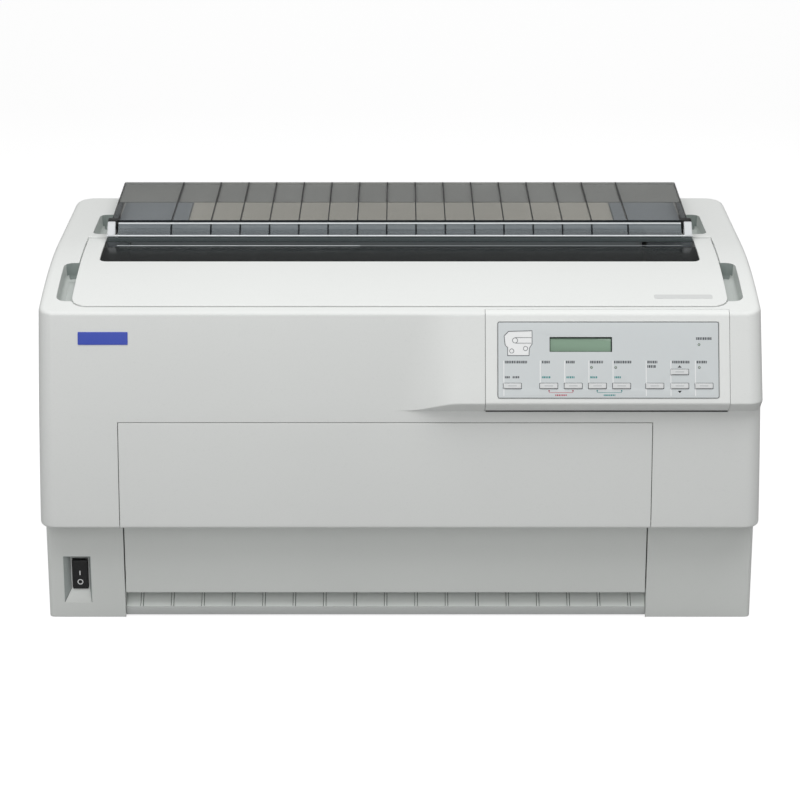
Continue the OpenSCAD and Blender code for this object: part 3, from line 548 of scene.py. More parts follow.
def top_edge(station):
    """The sharp edge that the deck's rounding replaces: place and inward direction."""
    z = edge_z
    for _ in range(10):
        (x, a), inward = casing_plan(station, z, 0)
        z = deck_at(a)
    return (x, a, z), inward


casing_rows, casing_tags = [], []


def add_row(tag, value, heights, insets=None):
    """Adds a row of the casing's wall, with its height and its inset at each station."""
    row = []
    for s, z, inset in zip(casing_stations, heights, insets or [0] * len(heights)):
        (x, a), _ = casing_plan(s, z, inset)
        row.append((x, a, z))
    casing_rows.append(row)
    casing_tags.append((tag, value))


lip_row = []
for s in casing_stations:
    (x, a), _ = casing_plan(s, split_z, station_round(s, 24.0, 6.0, 11.0), 26.0)
    lip_row.append((x, a, split_z))
casing_rows.append(lip_row)
casing_tags.append(("lip", None))
foot_rounds = [station_round(s, 2.2, 3.4, 3.0) for s in casing_stations]
for inward, up in quarter(3):
    add_row("foot", None, [split_z + r * up for r in foot_rounds], [r * inward for r in foot_rounds])
front_levels = [118, 135, 155, 175, 195, 210.3]
rear_levels = [118, 128, 150, 165, 200, 240]
for front, rear in zip(front_levels, rear_levels):
    add_row("wall", front, [front + (rear - front) * rear_share(s) for s in casing_stations])

# The chin's rows close up at its crease, and the rows above spread out to the deck.
chin_steps = [0.0, 0.35, 0.7, 0.88, 1.0, 1.1]
top_steps = [0.16, 0.4, 0.64, 0.84, 1.0]
rear_heights = spread(258, 285, len(chin_steps) - 1) + [294, 303, 313, 322, deck_z]
casing_edges = [top_edge(s) for s in casing_stations]
casing_rounds = [station_round(s, 2.6, 5.4, 2.8, -0.8) for s in casing_stations]
for n, (step, rear) in enumerate(zip(chin_steps + top_steps, rear_heights)):
    heights = []
    for s, (edge, _), r in zip(casing_stations, casing_edges, casing_rounds):
        kind, t, side = s
        crease = crease_z(t if kind == "front" else side * corner_x)
        over = crease + 0.1 * (crease - chin_under) + 0.4
        if n < len(chin_steps):
            z = chin_under + (crease - chin_under) * step + (0.4 if step > 1 else 0)
        else:
            z = over + (edge[2] - r - over) * step
        last = n == len(rear_heights) - 1
        heights.append(edge[2] - r if last else z + (rear - z) * rear_share(s))
    add_row("chin" if n < len(chin_steps) else "upper", step, heights)
below = casing_rows[-1]
for up, on in quarter(4)[1:]:
    row = []
    for (edge, inward), r, low in zip(casing_edges, casing_rounds, below):
        x, a = edge[0] + r * inward[0], edge[1] + r * inward[1]
        onto = (x, a, deck_at(a))
        row.append(tuple(e + (w - e) * up + (d - e) * on for e, w, d in zip(edge, low, onto)))
    casing_rows.append(row)
    casing_tags.append(("deck_edge", on))

exit_left, exit_right = -280.5, 252.5


def casing_keep(i, j, k):
    """False where the casing's walls are open."""
    (kind, t0, _), (other, t1, _) = casing_stations[j], casing_stations[k]
    if kind != other or kind not in ("front", "rear"):
        return True
    x = (t0 + t1) / 2
    in_bay = bay_left < x < bay_right
    tag, value = casing_tags[i]
    if kind == "front":
        if panel_left < x < panel_right and tag in ("chin", "upper", "deck_edge"):
            return False
        low = tag in ("lip", "foot") or (tag == "wall" and value < front_levels[-1])
        return not (in_bay and low)
    z = casing_rows[i][j][2] + 0.01
    if in_bay and 165 < z < 322 or -262 < x < 234 and 128 < z < 150 and tag == "wall":
        return False
    return not (i >= len(casing_rows) - 5 and exit_left < x < exit_right)


def sides_of(loop):
    return zip(loop, loop[1:] + loop[:1])


def within(x, y, loop):
    """True inside a closed outline."""
    hit = False
    for (x0, y0), (x1, y1) in sides_of(loop):
        if (y0 > y) != (y1 > y) and x < (x1 - x0) * (y - y0) / (y1 - y0) + x0:
            hit = not hit
    return hit


def crossings(loop, axis, value):
    """Lowest and highest place where a straight line crosses a closed outline."""
    found = []
    for p, q in sides_of(loop):
        if (p[axis] > value) != (q[axis] > value):
            share = (value - p[axis]) / (q[axis] - p[axis])
            found.append(p[1 - axis] + share * (q[1 - axis] - p[1 - axis]))
    return min(found), max(found)


def fill_sheet(outline, holes=(), lines_x=(), lines_y=(), short=-1.0):
    """Flat triangles inside an outline and outside its holes, cut along straight lines.
    The lines end this far short of the outline, or run past it."""
    places, edges = [], []
    for loop in [outline, *holes]:
        n = len(places)
        places += [Vector(p) for p in loop]
        edges += [(n + i, n + (i + 1) % len(loop)) for i in range(len(loop))]
    for axis, lines in ((0, lines_x), (1, lines_y)):
        for value in lines:
            low, high = crossings(outline, axis, value)
            edges.append((len(places), len(places) + 1))
            for end in (low + short, high - short):
                places.append(Vector((value, end) if axis == 0 else (end, value)))
    points, _, faces = delaunay_2d_cdt(places, edges, [], 0, 0.0001)[:3]
    kept = []
    for face in faces:
        a, b, c = (points[i] for i in face)
        x, y = (a[0] + b[0] + c[0]) / 3, (a[1] + b[1] + c[1]) / 3
        if within(x, y, outline) and not any(within(x, y, hole) for hole in holes):
            turn = (b[0] - a[0]) * (c[1] - a[1]) - (b[1] - a[1]) * (c[0] - a[0])
            kept.append(tuple(face) if turn > 0 else tuple(reversed(face)))
    return [tuple(p) for p in points], kept


def patch(outline, place, *cuts, **settings):
    """The triangles of an outline as a net, with place giving where each point is."""
    flat, faces = fill_sheet(outline, *cuts, **settings)
    return [place(x, y) for x, y in flat], faces


def on_deck(out=0.0):
    """What gives a place on the deck, this far proud of it."""
    return lambda x, a: at(x, a, deck_at(a) + out)


def round_outline(x0, x1, y0, y1, radii, steps=5, inset=0.0):
    """A rectangle's outline, drawn in by an inset, with a radius for all corners or one for
    each, from low left, anticlockwise."""
    x0, x1, y0, y1 = x0 + inset, x1 - inset, y0 + inset, y1 - inset
    if not isinstance(radii, (tuple, list)):
        radii = (radii,) * 4
    loop = []
    for (cx, cy, start), r in zip(((x0, y0, 180), (x1, y0, 270), (x1, y1, 0), (x0, y1, 90)), radii):
        mx, my = cx + (r if cx == x0 else -r), cy + (r if cy == y0 else -r)
        turns = [radians(start + 90 * i / steps) for i in range(steps + 1)]
        loop += [(mx + r * cos(turn), my + r * sin(turn)) for turn in turns] if r else [(cx, cy)]
    return loop


front_grip, rear_grip = (309.0, 332.0, 55.0, 135.0), (290.0, 315.0, 230.0, 310.0)
grip_holes = [round_outline(*front_grip, (0, 9, 9, 0)), round_outline(*rear_grip, (0, 8, 8, 0))]
grip_holes += [[(-x, y) for x, y in reversed(hole)] for hole in grip_holes]
cover_hole = round_outline(-317.9, 317.9, 44.9, 218.6, (15.9, 15.9, 0, 0))
exit_hole = round_outline(exit_left, exit_right, 200, 400, 0)
panel_hole = round_outline(panel_left - seam, panel_right + seam, 20, panel_back + 0.2, 0)
casing_net = grid_faces([[at(*p) for p in row] for row in casing_rows], casing_keep, ring=True)
add_net(casing_net, *patch([(x, a) for x, a, _ in casing_rows[-1]], on_deck(),
                           grip_holes + [cover_hole, exit_hole, panel_hole], spread(-325, 325, 14),
                           spread(46, 214, 14) + spread(230, 370, 7), short=2.0))
upper_casing = new_piece("upper_casing", *casing_net)
dress(mould(upper_casing, wall=3.0, edge=0.55, limit=42), "chassis", casing_grey, "casing",
      "upper_housing")


def tray(plan, depth, radii):
    """A finger pocket let into the deck: upright walls and a rounded floor."""
    rows = []
    for g, inset in ((0.4, -1.6), (0.4, 0.0), (depth - 4, 0.5), (depth - 1.4, 1.3),
                     (depth - 0.3, 3.0), (depth, 5.5)):
        shrunk = [max(0.5, r - inset) for r in radii]
        loop = round_outline(*plan, shrunk, inset=inset)
        rows.append([at(x, a, deck_at(a) - g) for x, a in loop])
    net = grid_faces(rows, ring=True)
    add_net(net, *patch(loop, on_deck(-depth), [], [], spread(plan[2] + 8, plan[3] - 8, 5)))
    return net


# Painted shade: the pockets are a darker grey than the casing, and the walls at their far ends lie in
# shade, are painted darker still and are a piece of their own.
pocket_points, near_faces, far_faces = [], [], []
for plan, radii in ((front_grip, (2, 9, 9, 2)), ((298.4, *rear_grip[1:]), (2, 8, 8, 2))):
    points, faces = tray(plan, 16, radii)
    for side in (1, -1):
        shift = len(pocket_points)
        pocket_points += [Vector((side * p.x, p.y, p.z)) for p in points]
        for face in faces:
            middle = sum((points[i] for i in face), Vector()) / len(face)
            chosen = far_faces if middle.y > at(0, plan[3] - 3.0, 0).y else near_faces
            chosen.append(tuple(i + shift for i in (face if side > 0 else tuple(reversed(face)))))
for name, faces, finish in (
        ("grip_pockets", near_faces,
         moulded("grip_pocket_grey", shade(200, 205, 202), drift=0.02, gloss=0.5)),
        ("grip_far_walls", far_faces,
         moulded("grip_shadow_grey", shade(138, 147, 144), drift=0.05, gloss=0.55))):
    dress(mould(new_piece(name, pocket_points, faces), wall=1.6, edge=0), "chassis", finish, "casing")


def strips_piece(name, strips, edge=0.3):
    """Strips that follow the deck: sides in x and depth, least and most below the deck, steps."""
    net = [], []
    for x0, x1, a0, a1, low, high, *steps in strips:
        rows = []
        for a in spread(a0, a1, *(steps or [10])):
            top, foot = deck_at(a) - low, deck_at(a) - high
            rows.append([at(x0, a, foot), at(x1, a, foot), at(x1, a, top), at(x0, a, top)])
        points, faces = grid_faces(rows, ring=True)
        n = len(points)
        add_net(net, points, [tuple(reversed(face)) for face in faces]
                + [(0, 1, 2, 3), (n - 1, n - 2, n - 3, n - 4)])
    return mould(new_piece(name, *net), edge=edge, outward=True)


def both_sides(x0, x1, *rest):
    """A span and its mirror image, each with its lower x first."""
    return [(x0, x1, *rest), (-x1, -x0, *rest)]


ledges = [(309, 321, 139, 200, 3.3, 6.3), (309, 321, 48, 51.5, 3.3, 6.3, 2)]
ledges += [both_sides(*ledge)[1] for ledge in ledges]
dress(strips_piece("cover_ledges", ledges), "chassis", casing_grey, "casing")
ears = both_sides(317.4, 323, 205, 220, 328, 338) + both_sides(288, 293.2, 365, 377, 339, 352)
dress(box_piece("hinge_ears", ears, edge=1.2, steps=3), "chassis", casing_grey, "casing")

# ---- front cover ----
# The drop-down cover over the front paper bay: one L-shaped moulding, the upper
# panel flush with the casing, the lower set back to the base. Pivots at its foot.
cover_left, cover_right = -271.4, 243.4
front_top, front_low = 209.8, split_z - 0.2
low_panel_a, low_panel_z = 29.0, 26.6
# A near-black material for strips set behind seams: painted shade in the gaps.
seam_shade_dark = moulded("dark_foam_seal", shade(40, 43, 44), drift=0.05, relief=0.3, gloss=0.9,
                    level=0.1, dust=0.0)


def arc_points(mid_a, mid_z, r, start, end, steps=4):
    """Points of an arc in a side outline, with angles in degrees from the back, upwards."""
    return [(mid_a + r * cos(radians(t)), mid_z + r * sin(radians(t)))
            for t in spread(start, end, steps)]


def drawn_across(name, outline, xs, wall=0.0, edge=0.5):
    """A side outline of (depth, height) drawn across from x to x as an open sheet."""
    rows = [[at(x, a, z) for x in xs] for a, z in outline]
    return mould(new_piece(name, *grid_faces(rows)), wall=wall, edge=edge)


low_outline = [(low_panel_a, z) for z in spread(low_panel_z, split_z - 2.6, 5)]
dress(drawn_across("front_cover_low_panel", low_outline,
                   spread(cover_left + 0.5, cover_right - 0.5, 24), wall=2.8), "front_cover",
      base_grey, "base_casing", "front_cover")
foot_r = 2.4
front_outline = [(31.6, front_low), (18, front_low)]
front_outline += arc_points(foot_r + 0.1, front_low + foot_r, foot_r, 270, 180)
front_outline += [(face_at(z), z) for z in spread(split_z + 5, front_top, 9)]
dress(drawn_across("front_cover", front_outline, spread(cover_left, cover_right, 24), wall=2.8,
                   edge=0.6), "front_cover", casing_grey, "casing")
# A dark strip behind the seam at the cover's top is painted shade in the gap.
dress(box_piece("front_cover_seal", [(-270.5, 242.5, 16.4, 18, 205.5, 213.5)], edge=0.3), "chassis",
      seam_shade_dark, "rubber")
front_webs = [(x, x + 3, 31.6, 34.6, 34, 104) for x in spread(cover_left + 4, cover_right - 7, 3)]
front_webs += [(-271.2, -263.2, 31.5, 39, 28.5, 37), (235.2, 243.2, 31.5, 39, 28.5, 37)]
dress(box_piece("front_cover_webs", front_webs, edge=0.5), "front_cover", casing_grey, "casing")


def rod(name, ends, axis, r, sides=32, edge=0.3):
    """Plain round bars along x (0), depth (1) or height (2), with eased ends."""
    net = [], []
    for low, high, u, v in ends:
        points = []
        for place in (low, high):
            for i in range(sides):
                turn = 2 * pi * i / sides
                p, q = u + r * cos(turn), v + r * sin(turn)
                points.append(at(*((place, p, q), (q, place, p), (p, q, place))[axis]))
        round_sides = [(i, (i + 1) % sides, sides + (i + 1) % sides, sides + i) for i in range(sides)]
        add_net(net, points, round_sides + [tuple(reversed(range(sides))),
                                            tuple(range(sides, 2 * sides))])
    return mould(new_piece(name, *net), edge=edge, limit=60, outward=True)


dress(rod("front_cover_pins", [(-275, -262, 36, 32), (234, 247, 36, 32)], 0, 2.5), "front_cover",
      casing_grey, "casing")

# ---- front paper entry ----
# The ribbed ramp at the foot of the bay that leads computer paper up to the front
# tractors. Grey moulding screwed to the base, with seventeen upright ribs.
guide_xs = spread(-271.7, 243.7, 16)
ramp = [(33, 1.5), (33, 9.4), (33.4, 9.8), (36, 10.5), (39.5, 13), (43.5, 16.8), (48, 21),
        (53, 25.5), (58, 29.8), (62, 35), (65.4, 42.5), (68, 52), (70, 55), (73, 56), (73, 50)]
# The ramp and its ribs are painted near white, lighter than the base's grey: painted light where the
# cover above shades them.
guide_painted_light = moulded("pale_guide_moulding", shade(248, 253, 249), drift=0.012, gloss=0.5)
dress(drawn_across("entry_guide", ramp[2:], guide_xs, wall=1.8, edge=0.4), "chassis", guide_painted_light,
      "casing", "entry_guide")
dress(drawn_across("entry_guide_lip", ramp[:3], guide_xs, wall=1.8, edge=0), "chassis",
      moulded("lip_grey_moulding", shade(213, 216, 214), gloss=0.5), "casing")


def even_row_tree():
    """Geometry nodes that set copies of a shape in an even row and make them one mesh."""
    tree = bpy.data.node_groups.new("even_row", "GeometryNodeTree")
    tree.interface.new_socket("Geometry", in_out="OUTPUT", socket_type="NodeSocketGeometry")
    for label, kind in (("Shape", "Object"), ("Count", "Int"), ("First", "Vector"),
                        ("Spacing", "Vector"), ("Finish", "Material")):
        tree.interface.new_socket(label, in_out="INPUT", socket_type="NodeSocket" + kind)
    given = tree.nodes.new("NodeGroupInput").outputs
    line = add_node(tree, "GeometryNodeMeshLine", {"Count": given["Count"],
                    "Start Location": given["First"], "Offset": given["Spacing"]}, mode="OFFSET")
    shape = add_node(tree, "GeometryNodeObjectInfo", {"Object": given["Shape"]})
    copies = add_node(tree, "GeometryNodeInstanceOnPoints", {"Points": line.outputs["Mesh"],
                      "Instance": shape.outputs["Geometry"]})
    real = add_node(tree, "GeometryNodeRealizeInstances", {"Geometry": copies.outputs[0]})
    painted = add_node(tree, "GeometryNodeSetMaterial", {"Geometry": real.outputs[0],
                       "Material": given["Finish"]})
    add_node(tree, "NodeGroupOutput", {"Geometry": painted.outputs[0]})
    return tree


even_row = even_row_tree()


def row_of(name, shape, count, first, spacing, finish, body="chassis", slot="casing"):
    """An even row of copies of a shape, made by geometry nodes into one plain mesh."""
    piece = in_scene(name, bpy.data.meshes.new(name))
    row_nodes = piece.modifiers.new("even_row", "NODES")
    row_nodes.node_group = even_row
    given = {"Shape": shape, "Count": count, "First": first, "Spacing": spacing, "Finish": finish}
    for socket in even_row.interface.items_tree:
        if socket.in_out == "INPUT":
            row_nodes[socket.identifier] = given[socket.name]
    settle(piece)
    return dress(piece, body, None, slot)


def discard(*objects):
    for thing in objects:
        bpy.data.objects.remove(thing)


def side_plate(name, outline, spans, edge=0.4):
    """Flat plates across x, cut to a closed side outline, with eased edges."""
    net = [], []
    n = len(outline)
    ends = [tuple(range(n)), tuple(reversed(range(n, 2 * n)))]
    rim = [((i + 1) % n, i, n + i, n + (i + 1) % n) for i in range(n)]
    for x0, x1 in spans:
        add_net(net, [at(x, a, z) for x in (x0, x1) for a, z in outline], ends + rim)
    return mould(new_piece(name, *net), edge=edge, outward=True)


# Dark strips behind the seams at the front cover's sides are painted shade in the gaps.
seam_shade_levels = [113, 140, 170, 206]
side_seam_shade = [(face_at(z) + 3.3, z) for z in seam_shade_levels]
side_seam_shade += [(face_at(z) + 4.5, z) for z in reversed(seam_shade_levels)]
dress(side_plate("front_cover_side_seals", side_seam_shade, [(-273.4, -269.6), (241.6, 245.4)], 0.2),
      "chassis", seam_shade_dark, "rubber")
dress(box_piece("front_cover_low_seals", [(-271.9, -268.6, 32.5, 33.7, 40, 104),
                                          (240.6, 243.9, 32.5, 33.7, 40, 104)], edge=0.2),
      "chassis", seam_shade_dark, "rubber")

rib_count, rib_pitch, rib_mid = 17, 0.0303, -0.014
rib_outline = [(34, 10.2), (36.5, 11.6), (40, 14.4), (44, 18.2), (48.5, 22.4), (53.5, 27),
               (58.4, 31.4), (61.4, 37), (65, 52), (68, 52), (62, 33), (53, 23.5), (43.5, 14.8),
               (36, 9.2)]
# Two thin dark strips on the ramp beside each rib are painted shade along the rib's sides.
rib_shade_outline = [(34, 10.3), (36, 11), (39.5, 13.5), (43.5, 17.3), (48, 21.5), (53, 26),
                  (53.8, 25.2), (48, 20), (43.5, 15.8), (39.5, 12), (36, 9.6), (34, 9.4)]
groove_grey = moulded("groove_grey", shade(92, 97, 95), drift=0.05, gloss=0.7, level=0.2)
for name, outline, spans, edge, finish in (
        ("entry_ribs", rib_outline, [(-1, 1)], 0.3, guide_painted_light),
        ("entry_grooves", rib_shade_outline, [(-1.5, -1.05), (1.05, 1.5)], 0, groove_grey)):
    one = side_plate("one", outline, spans, edge)
    row_of(name, one, rib_count, (rib_mid - rib_count // 2 * rib_pitch, 0, 0), (rib_pitch, 0, 0),
           finish)
    discard(one)

# ---- rear cover ----
# The plain drop-down cover over the rear paper bay, a flat moulding with a finger
# lip at its top, turning on two knuckles at its foot.
rear_outline = [(381.9, z) for z in (321.5, 300, 280, 250, 220, 190, 167)]
rear_pin = (379, 169)
dress(drawn_across("rear_cover", rear_outline, spread(bay_left + 0.6, bay_right - 0.6, 12), wall=2.8,
                   edge=0.6), "rear_cover", casing_grey, "casing", "rear_cover")
for piece in (rod("rear_knuckles", [(-271.4, -258, *rear_pin), (230, 243.4, *rear_pin)], 0, 2.95),
              rod("rear_cover_pins", [(-275.4, -270, *rear_pin), (242, 247.4, *rear_pin)], 0, 2.0),
              box_piece("rear_cover_ribs", [(-244, -241, 372.5, 379.2, 178, 315),
                                            (213, 216, 372.5, 379.2, 178, 315),
                                            (-80, 52, 380.8, 382, 300, 303)])):
    dress(piece, "rear_cover", casing_grey, "casing")

# ---- paper exit guide ----
# The warm grey sheet that carries printed paper back under the smoked cover, with a dark lip at its
# front, painted shade in the slot under the tear bar, and cooler grey ends and side plates.
guide_beige = moulded("warm_grey_moulding", shade(234, 232, 222), drift=0.03, gloss=0.45)
guide_blue = moulded("cool_grey_moulding", shade(184, 191, 196), drift=0.03, gloss=0.45)
guide_lip_shade_dark = moulded("dark_lip_moulding", shade(74, 82, 84), drift=0.04, gloss=0.4)
guide_left, guide_right, plate_left, plate_right = -278.4, 250.4, -221.1, 224.1
lip_outline = [(226.5, 311.2), (238, 320.2), (250, 329.4), (261.6, 338.1)]
dress(drawn_across("exit_guide_lip", lip_outline, spread(guide_left, guide_right, 12), wall=1.8,
                   edge=0.2), "chassis", guide_lip_shade_dark, "paper_guide", "exit_guide")
flat_outline = [(261.8, 338.3), (290, 338.4), (330, 338.4), (378.1, 338.4), (378.1, 336.8)]
for name, x0, x1, steps, finish in (
        ("exit_guide_plate", plate_left + 0.1, plate_right - 0.1, 12, guide_beige),
        ("exit_guide_left_end", guide_left, plate_left, 2, guide_blue),
        ("exit_guide_right_end", plate_right, guide_right, 2, guide_blue)):
    dress(drawn_across(name, flat_outline, spread(x0, x1, steps), wall=1.8, edge=0.3), "chassis",
          finish, "paper_guide")
side_plates = [(-292.6, plate_left - 0.1, 262, 362, 340.2, 341.0),
               (plate_right + 0.1, 292.6, 262, 362, 340.2, 341.0)]
dress(box_piece("exit_side_plates", side_plates, edge=0.2), "chassis", guide_blue, "paper_guide")
# The well's rear walls, deep in shade, are given the lighter cool grey: painted light.
dress(box_piece("cover_well_rear_walls", [(252.8, 316, 219, 221, 296, 337.5),
                                          (-316, -276, 219, 221, 296, 337.5)]), "chassis",
      guide_blue, "paper_guide")

# ---- top front cover ----
# The wide pale cover over the print bay: a U-shaped moulding that follows the
# domed deck, turning on pins behind the smoked window let into it.
cover_half, cover_front, hinge_a, hinge_z = 316.7, 46.5, 212.0, 334.0
top_outline = round_outline(-cover_half, cover_half, cover_front, hinge_a, (15, 15, 0, 0), steps=7)
window_slot = round_outline(-298.5, 298.5, 138.5, hinge_a + 5, (7, 7, 0, 0))
top_cover = new_piece("top_front_cover", *patch(top_outline, on_deck(), [window_slot],
                                                spread(-300, 300, 12), spread(54, 204, 14)))
dress(mould(top_cover, wall=2.9, edge=0.6, limit=42), "printer_cover", casing_grey, "casing",
      "printer_cover")
skirts = [(-306.5, 306.5, 54, 56.5, 2.6, 12, 2), (-294.5, 294.5, 131, 138.3, 2.6, 5, 2),
          (-294.5, 294.5, 138, 146, 3.2, 5, 2), *both_sides(304, 306.5, 56, 200, 2.6, 12)]
dress(strips_piece("top_cover_skirts", skirts), "printer_cover", casing_grey, "casing")
dress(rod("top_cover_barrels", both_sides(298.6, 316.9, hinge_a, hinge_z), 0, 5.95, edge=0.5),
      "printer_cover", casing_grey, "casing")
dress(rod("top_cover_pins", both_sides(316, 321.9, hinge_a, hinge_z), 0, 2.0), "printer_cover",
      casing_grey, "casing")

# A bare raised strip stands where a name would be.
strip_grey = moulded("strip_grey", shade(214, 216, 215), drift=0.02, gloss=0.35, relief=0.05)
name_strip = new_piece("bare_name_strip", *patch(round_outline(246, 302.5, 58.7, 66.2, 2),
                                                 on_deck(0.25), [], spread(250, 298, 5),
                                                 spread(60.6, 64.4, 2)))
dress(mould(name_strip, wall=0.45, edge=0.12), "printer_cover", strip_grey, "casing")

# ---- smoked window and smoked cover ----
# Two clear mouldings tinted grey-brown: the window let into the top cover and the
# hinged lid over the paper exit, stiffened by thin ribs under its sheet.


def smoked_material(name, colour, cover, gloss):
    """Tinted clear plastic: it lets through what its cover leaves, and shines."""
    finish, tree, surface = new_material(name)
    place = add_node(tree, "ShaderNodeTexCoord").outputs["Object"]
    drift = noise(tree, 9.0, 2.0, Vector=place)
    smear = noise(tree, 60.0, 4.0, Vector=place)
    deeper = tuple(c * 1.12 for c in colour[:3]) + (1,)
    set_inputs(tree, surface, {
        "Base Color": blend(tree, drift, colour, deeper), "Specular IOR Level": 0.5,
        "Alpha": spread_over(tree, drift, cover - 0.03, cover + 0.03),
        "Roughness": spread_over(tree, smear, gloss * 0.6, gloss * 1.5)})
    return finish


smoked_sheet = smoked_material("smoked_clear_moulding", shade(52, 51, 50), 0.22, 0.07)
smoked_dark = smoked_material("smoked_window_moulding", shade(26, 29, 29), 0.7, 0.16)
smoked_edge = smoked_material("smoked_thick_edge", shade(24, 25, 26), 0.95, 0.12)

window_outline = round_outline(-298.2, 298.2, 138.8, 183, (6.7, 6.7, 0, 0))
window = new_piece("smoked_window", *patch(window_outline, on_deck(-0.5), [], spread(-280, 280, 8),
                                           spread(142, 181, 6)))
dress(mould(window, wall=2.4, edge=0.5), "printer_cover", smoked_dark, "smoked", "cover_window")
# Two thin rods along the window's rear edge are painted highlights, brighter on the left than on the
# right.
for side, x0, x1, tone in (("left", -285, -40, 205), ("right", -40, 285, 140)):
    dress(rod("smoked_window_edge_" + side, [(x0, x1, 183.6, deck_at(183) + 0.35)], 0, 0.42,
              sides=12, edge=0), "printer_cover",
          moulded("edge_lit_" + side, shade(tone, tone + 5, tone + 7), drift=0.05, relief=0.0,
                  gloss=0.2), "smoked")

lid_top, lid_half, lid_front, lid_back = 359.0, 296.0, 222.3, 376.0
arm_half, arm_front, lid_pin = 286, 214.2, (371, 347)
lid_outline = [(-arm_half, arm_front), (arm_half, arm_front), (arm_half, lid_front),
               (lid_half, lid_front), (lid_half, lid_back), (-lid_half, lid_back),
               (-lid_half, lid_front), (-arm_half, lid_front)]


def narrowed(place):
    """Draws a place in towards the lid's front, where the lid is narrower."""
    forward = (at(0, lid_back, 0).y - place.y) / (lid_back - lid_front) * 1000
    place.x -= copysign(0.0026 * forward, place.x)


lid_points, faces = patch(lid_outline, lambda x, a: at(x, a, lid_top), [], spread(-240, 240, 6))
for point in lid_points:
    if abs(point.x) > 0.29:
        narrowed(point)
dress(mould(new_piece("smoked_cover_sheet", lid_points, faces), wall=2.4, edge=0.5), "output_cover",
      smoked_sheet, "smoked", "output_cover")
wall_outline = [(lid_front, 358), (lid_front, 340.5), (365, 340.5)]
wall_outline += arc_points(*lid_pin, 6.5, 250, 360, 8) + [(376, 352), (375.9, 358)]
lid_walls = side_plate("smoked_cover_walls", wall_outline,
                       both_sides(lid_half - 1.2, lid_half)[::-1])
for vertex in lid_walls.data.vertices:
    narrowed(vertex.co)
dress(lid_walls, "output_cover", smoked_material("smoked_side_wall", shade(26, 28, 29), 0.7, 0.1),
      "smoked")
dress(rod("smoked_cover_pins", both_sides(288.6, 295, *lid_pin), 0, 2.0), "output_cover",
      smoked_edge, "smoked")
corner_outline = [(214.4, 359.1), (222.2, 359.1), (222.2, 347.2), (214.4, 349.5)]
dress(side_plate("smoked_cover_corners", corner_outline, both_sides(arm_half, 297)[::-1], 0.8),
      "output_cover", smoked_edge, "smoked")

# Fourteen ribs stand evenly under the lid, and one more beyond them at each end.
lid_rib_count, lid_rib_pitch, first_rib, end_rib = 14, 0.029769, -0.1918, 0.232


def rib_rows(names, shape, finish, slot):
    """The even row and the two end copies of something that each of the lid's ribs has."""
    for name, count, first, pitch in ((names[0], lid_rib_count, first_rib, lid_rib_pitch),
                                      (names[1], 2, -end_rib, 2 * end_rib)):
        row_of(name, shape, count, (first, 0, 0), (pitch, 0, 0), finish, "output_cover", slot)
    discard(shape)


rib_rows(("smoked_cover_ribs", "smoked_cover_outer_ribs"),
         box_piece("rib", [(-0.6, 0.6, 215, 375, 355.6, 359.05)], edge=0.2, steps=1), smoked_edge,
         "smoked")

# Pale translucent damping strips are glued under the rear half of the lid, between its
# ribs. Soft light and shadows pass through them.
foam_grey = moulded("damping_foam", shade(184, 186, 183), drift=0.04, scale=700.0, relief=0.5,
                    gloss=0.85, level=0.1)
tree = foam_grey.node_tree
rays = add_node(tree, "ShaderNodeLightPath").outputs
other = maths(tree, "MAXIMUM", rays["Is Shadow Ray"], rays["Is Diffuse Ray"])
set_inputs(tree, tree.nodes["Principled BSDF"], {"Alpha": maths(tree, "SUBTRACT", 1.0, other)})
pad_edges = [-295.2, -1000 * end_rib]
pad_edges += [1000 * (first_rib + lid_rib_pitch * i) for i in range(lid_rib_count)]
pad_edges += [1000 * end_rib, 295.2]
pads = [(left + 0.7, right - 0.7, 300, 374.4, 355.2, 356.4)
        for left, right in zip(pad_edges, pad_edges[1:])]
dress(box_piece("lid_damping_pads", pads + [(-294.7, 294.7, 374.5, 375.7, 353.8, 358.6)], edge=0.3),
      "output_cover", foam_grey, "smoked")

# ---- tear bar ----
# A clear bar across the front of the smoked cover, with two near-white rods along its edges that are
# painted highlights; paper is torn against the lower one. Silver-grey caps close its ends.
clear_body = smoked_material("clear_blue_grey_moulding", shade(84, 94, 98), 0.8, 0.12)
tree = clear_body.node_tree
place = add_node(tree, "ShaderNodeTexCoord").outputs["Object"]
height = add_node(tree, "ShaderNodeSeparateXYZ", {0: place}).outputs["Z"]
# The bar's colour is painted lighter towards its top: painted light.
painted_light_rise = spread_over(tree, height, 0.0, 1.0, 0.3455, 0.357)
drawn = add_node(tree, "ShaderNodeMapping", {"Vector": place, "Scale": (3.0, 300.0, 300.0)})
streak = noise(tree, 1.5, 2.0, Vector=drawn.outputs[0])
share = maths(tree, "SUBTRACT", maths(tree, "ADD", painted_light_rise, streak), 0.5, use_clamp=True)
set_inputs(tree, tree.nodes["Principled BSDF"],
           {"Base Color": blend(tree, share, shade(52, 62, 66), shade(108, 118, 123))})
tear_edge_highlight = moulded("polished_clear_edge", shade(226, 230, 232), drift=0.04, relief=0.0,
                        gloss=0.16, level=0.8, coat=0.6)
shade_and_rib_dark = moulded("moulded_shadow_line", shade(24, 28, 31), drift=0.05, gloss=0.6, level=0.1)
cap_silver = moulded("silver_grey_moulding", shade(208, 211, 213), drift=0.03, relief=0.06,
                     gloss=0.28, coat=0.3)
bar_outline = [(200.4, 345.6), (212.0, 357.0), (213.2, 356.4), (202.2, 343.4)]
edge_outline = [(211.8, 356.8), (213.6, 358.8), (214.4, 358.8), (214.4, 356.4), (213.2, 356.2)]
tear_lip_outline = [(191.1, 342.4), (199.6, 344.7), (200.8, 344.0), (199.4, 341.8), (192, 341.6)]
tick_outline = [(201.2, 346.6), (210.3, 355.6), (211.4, 354.5), (202.3, 345.5)]
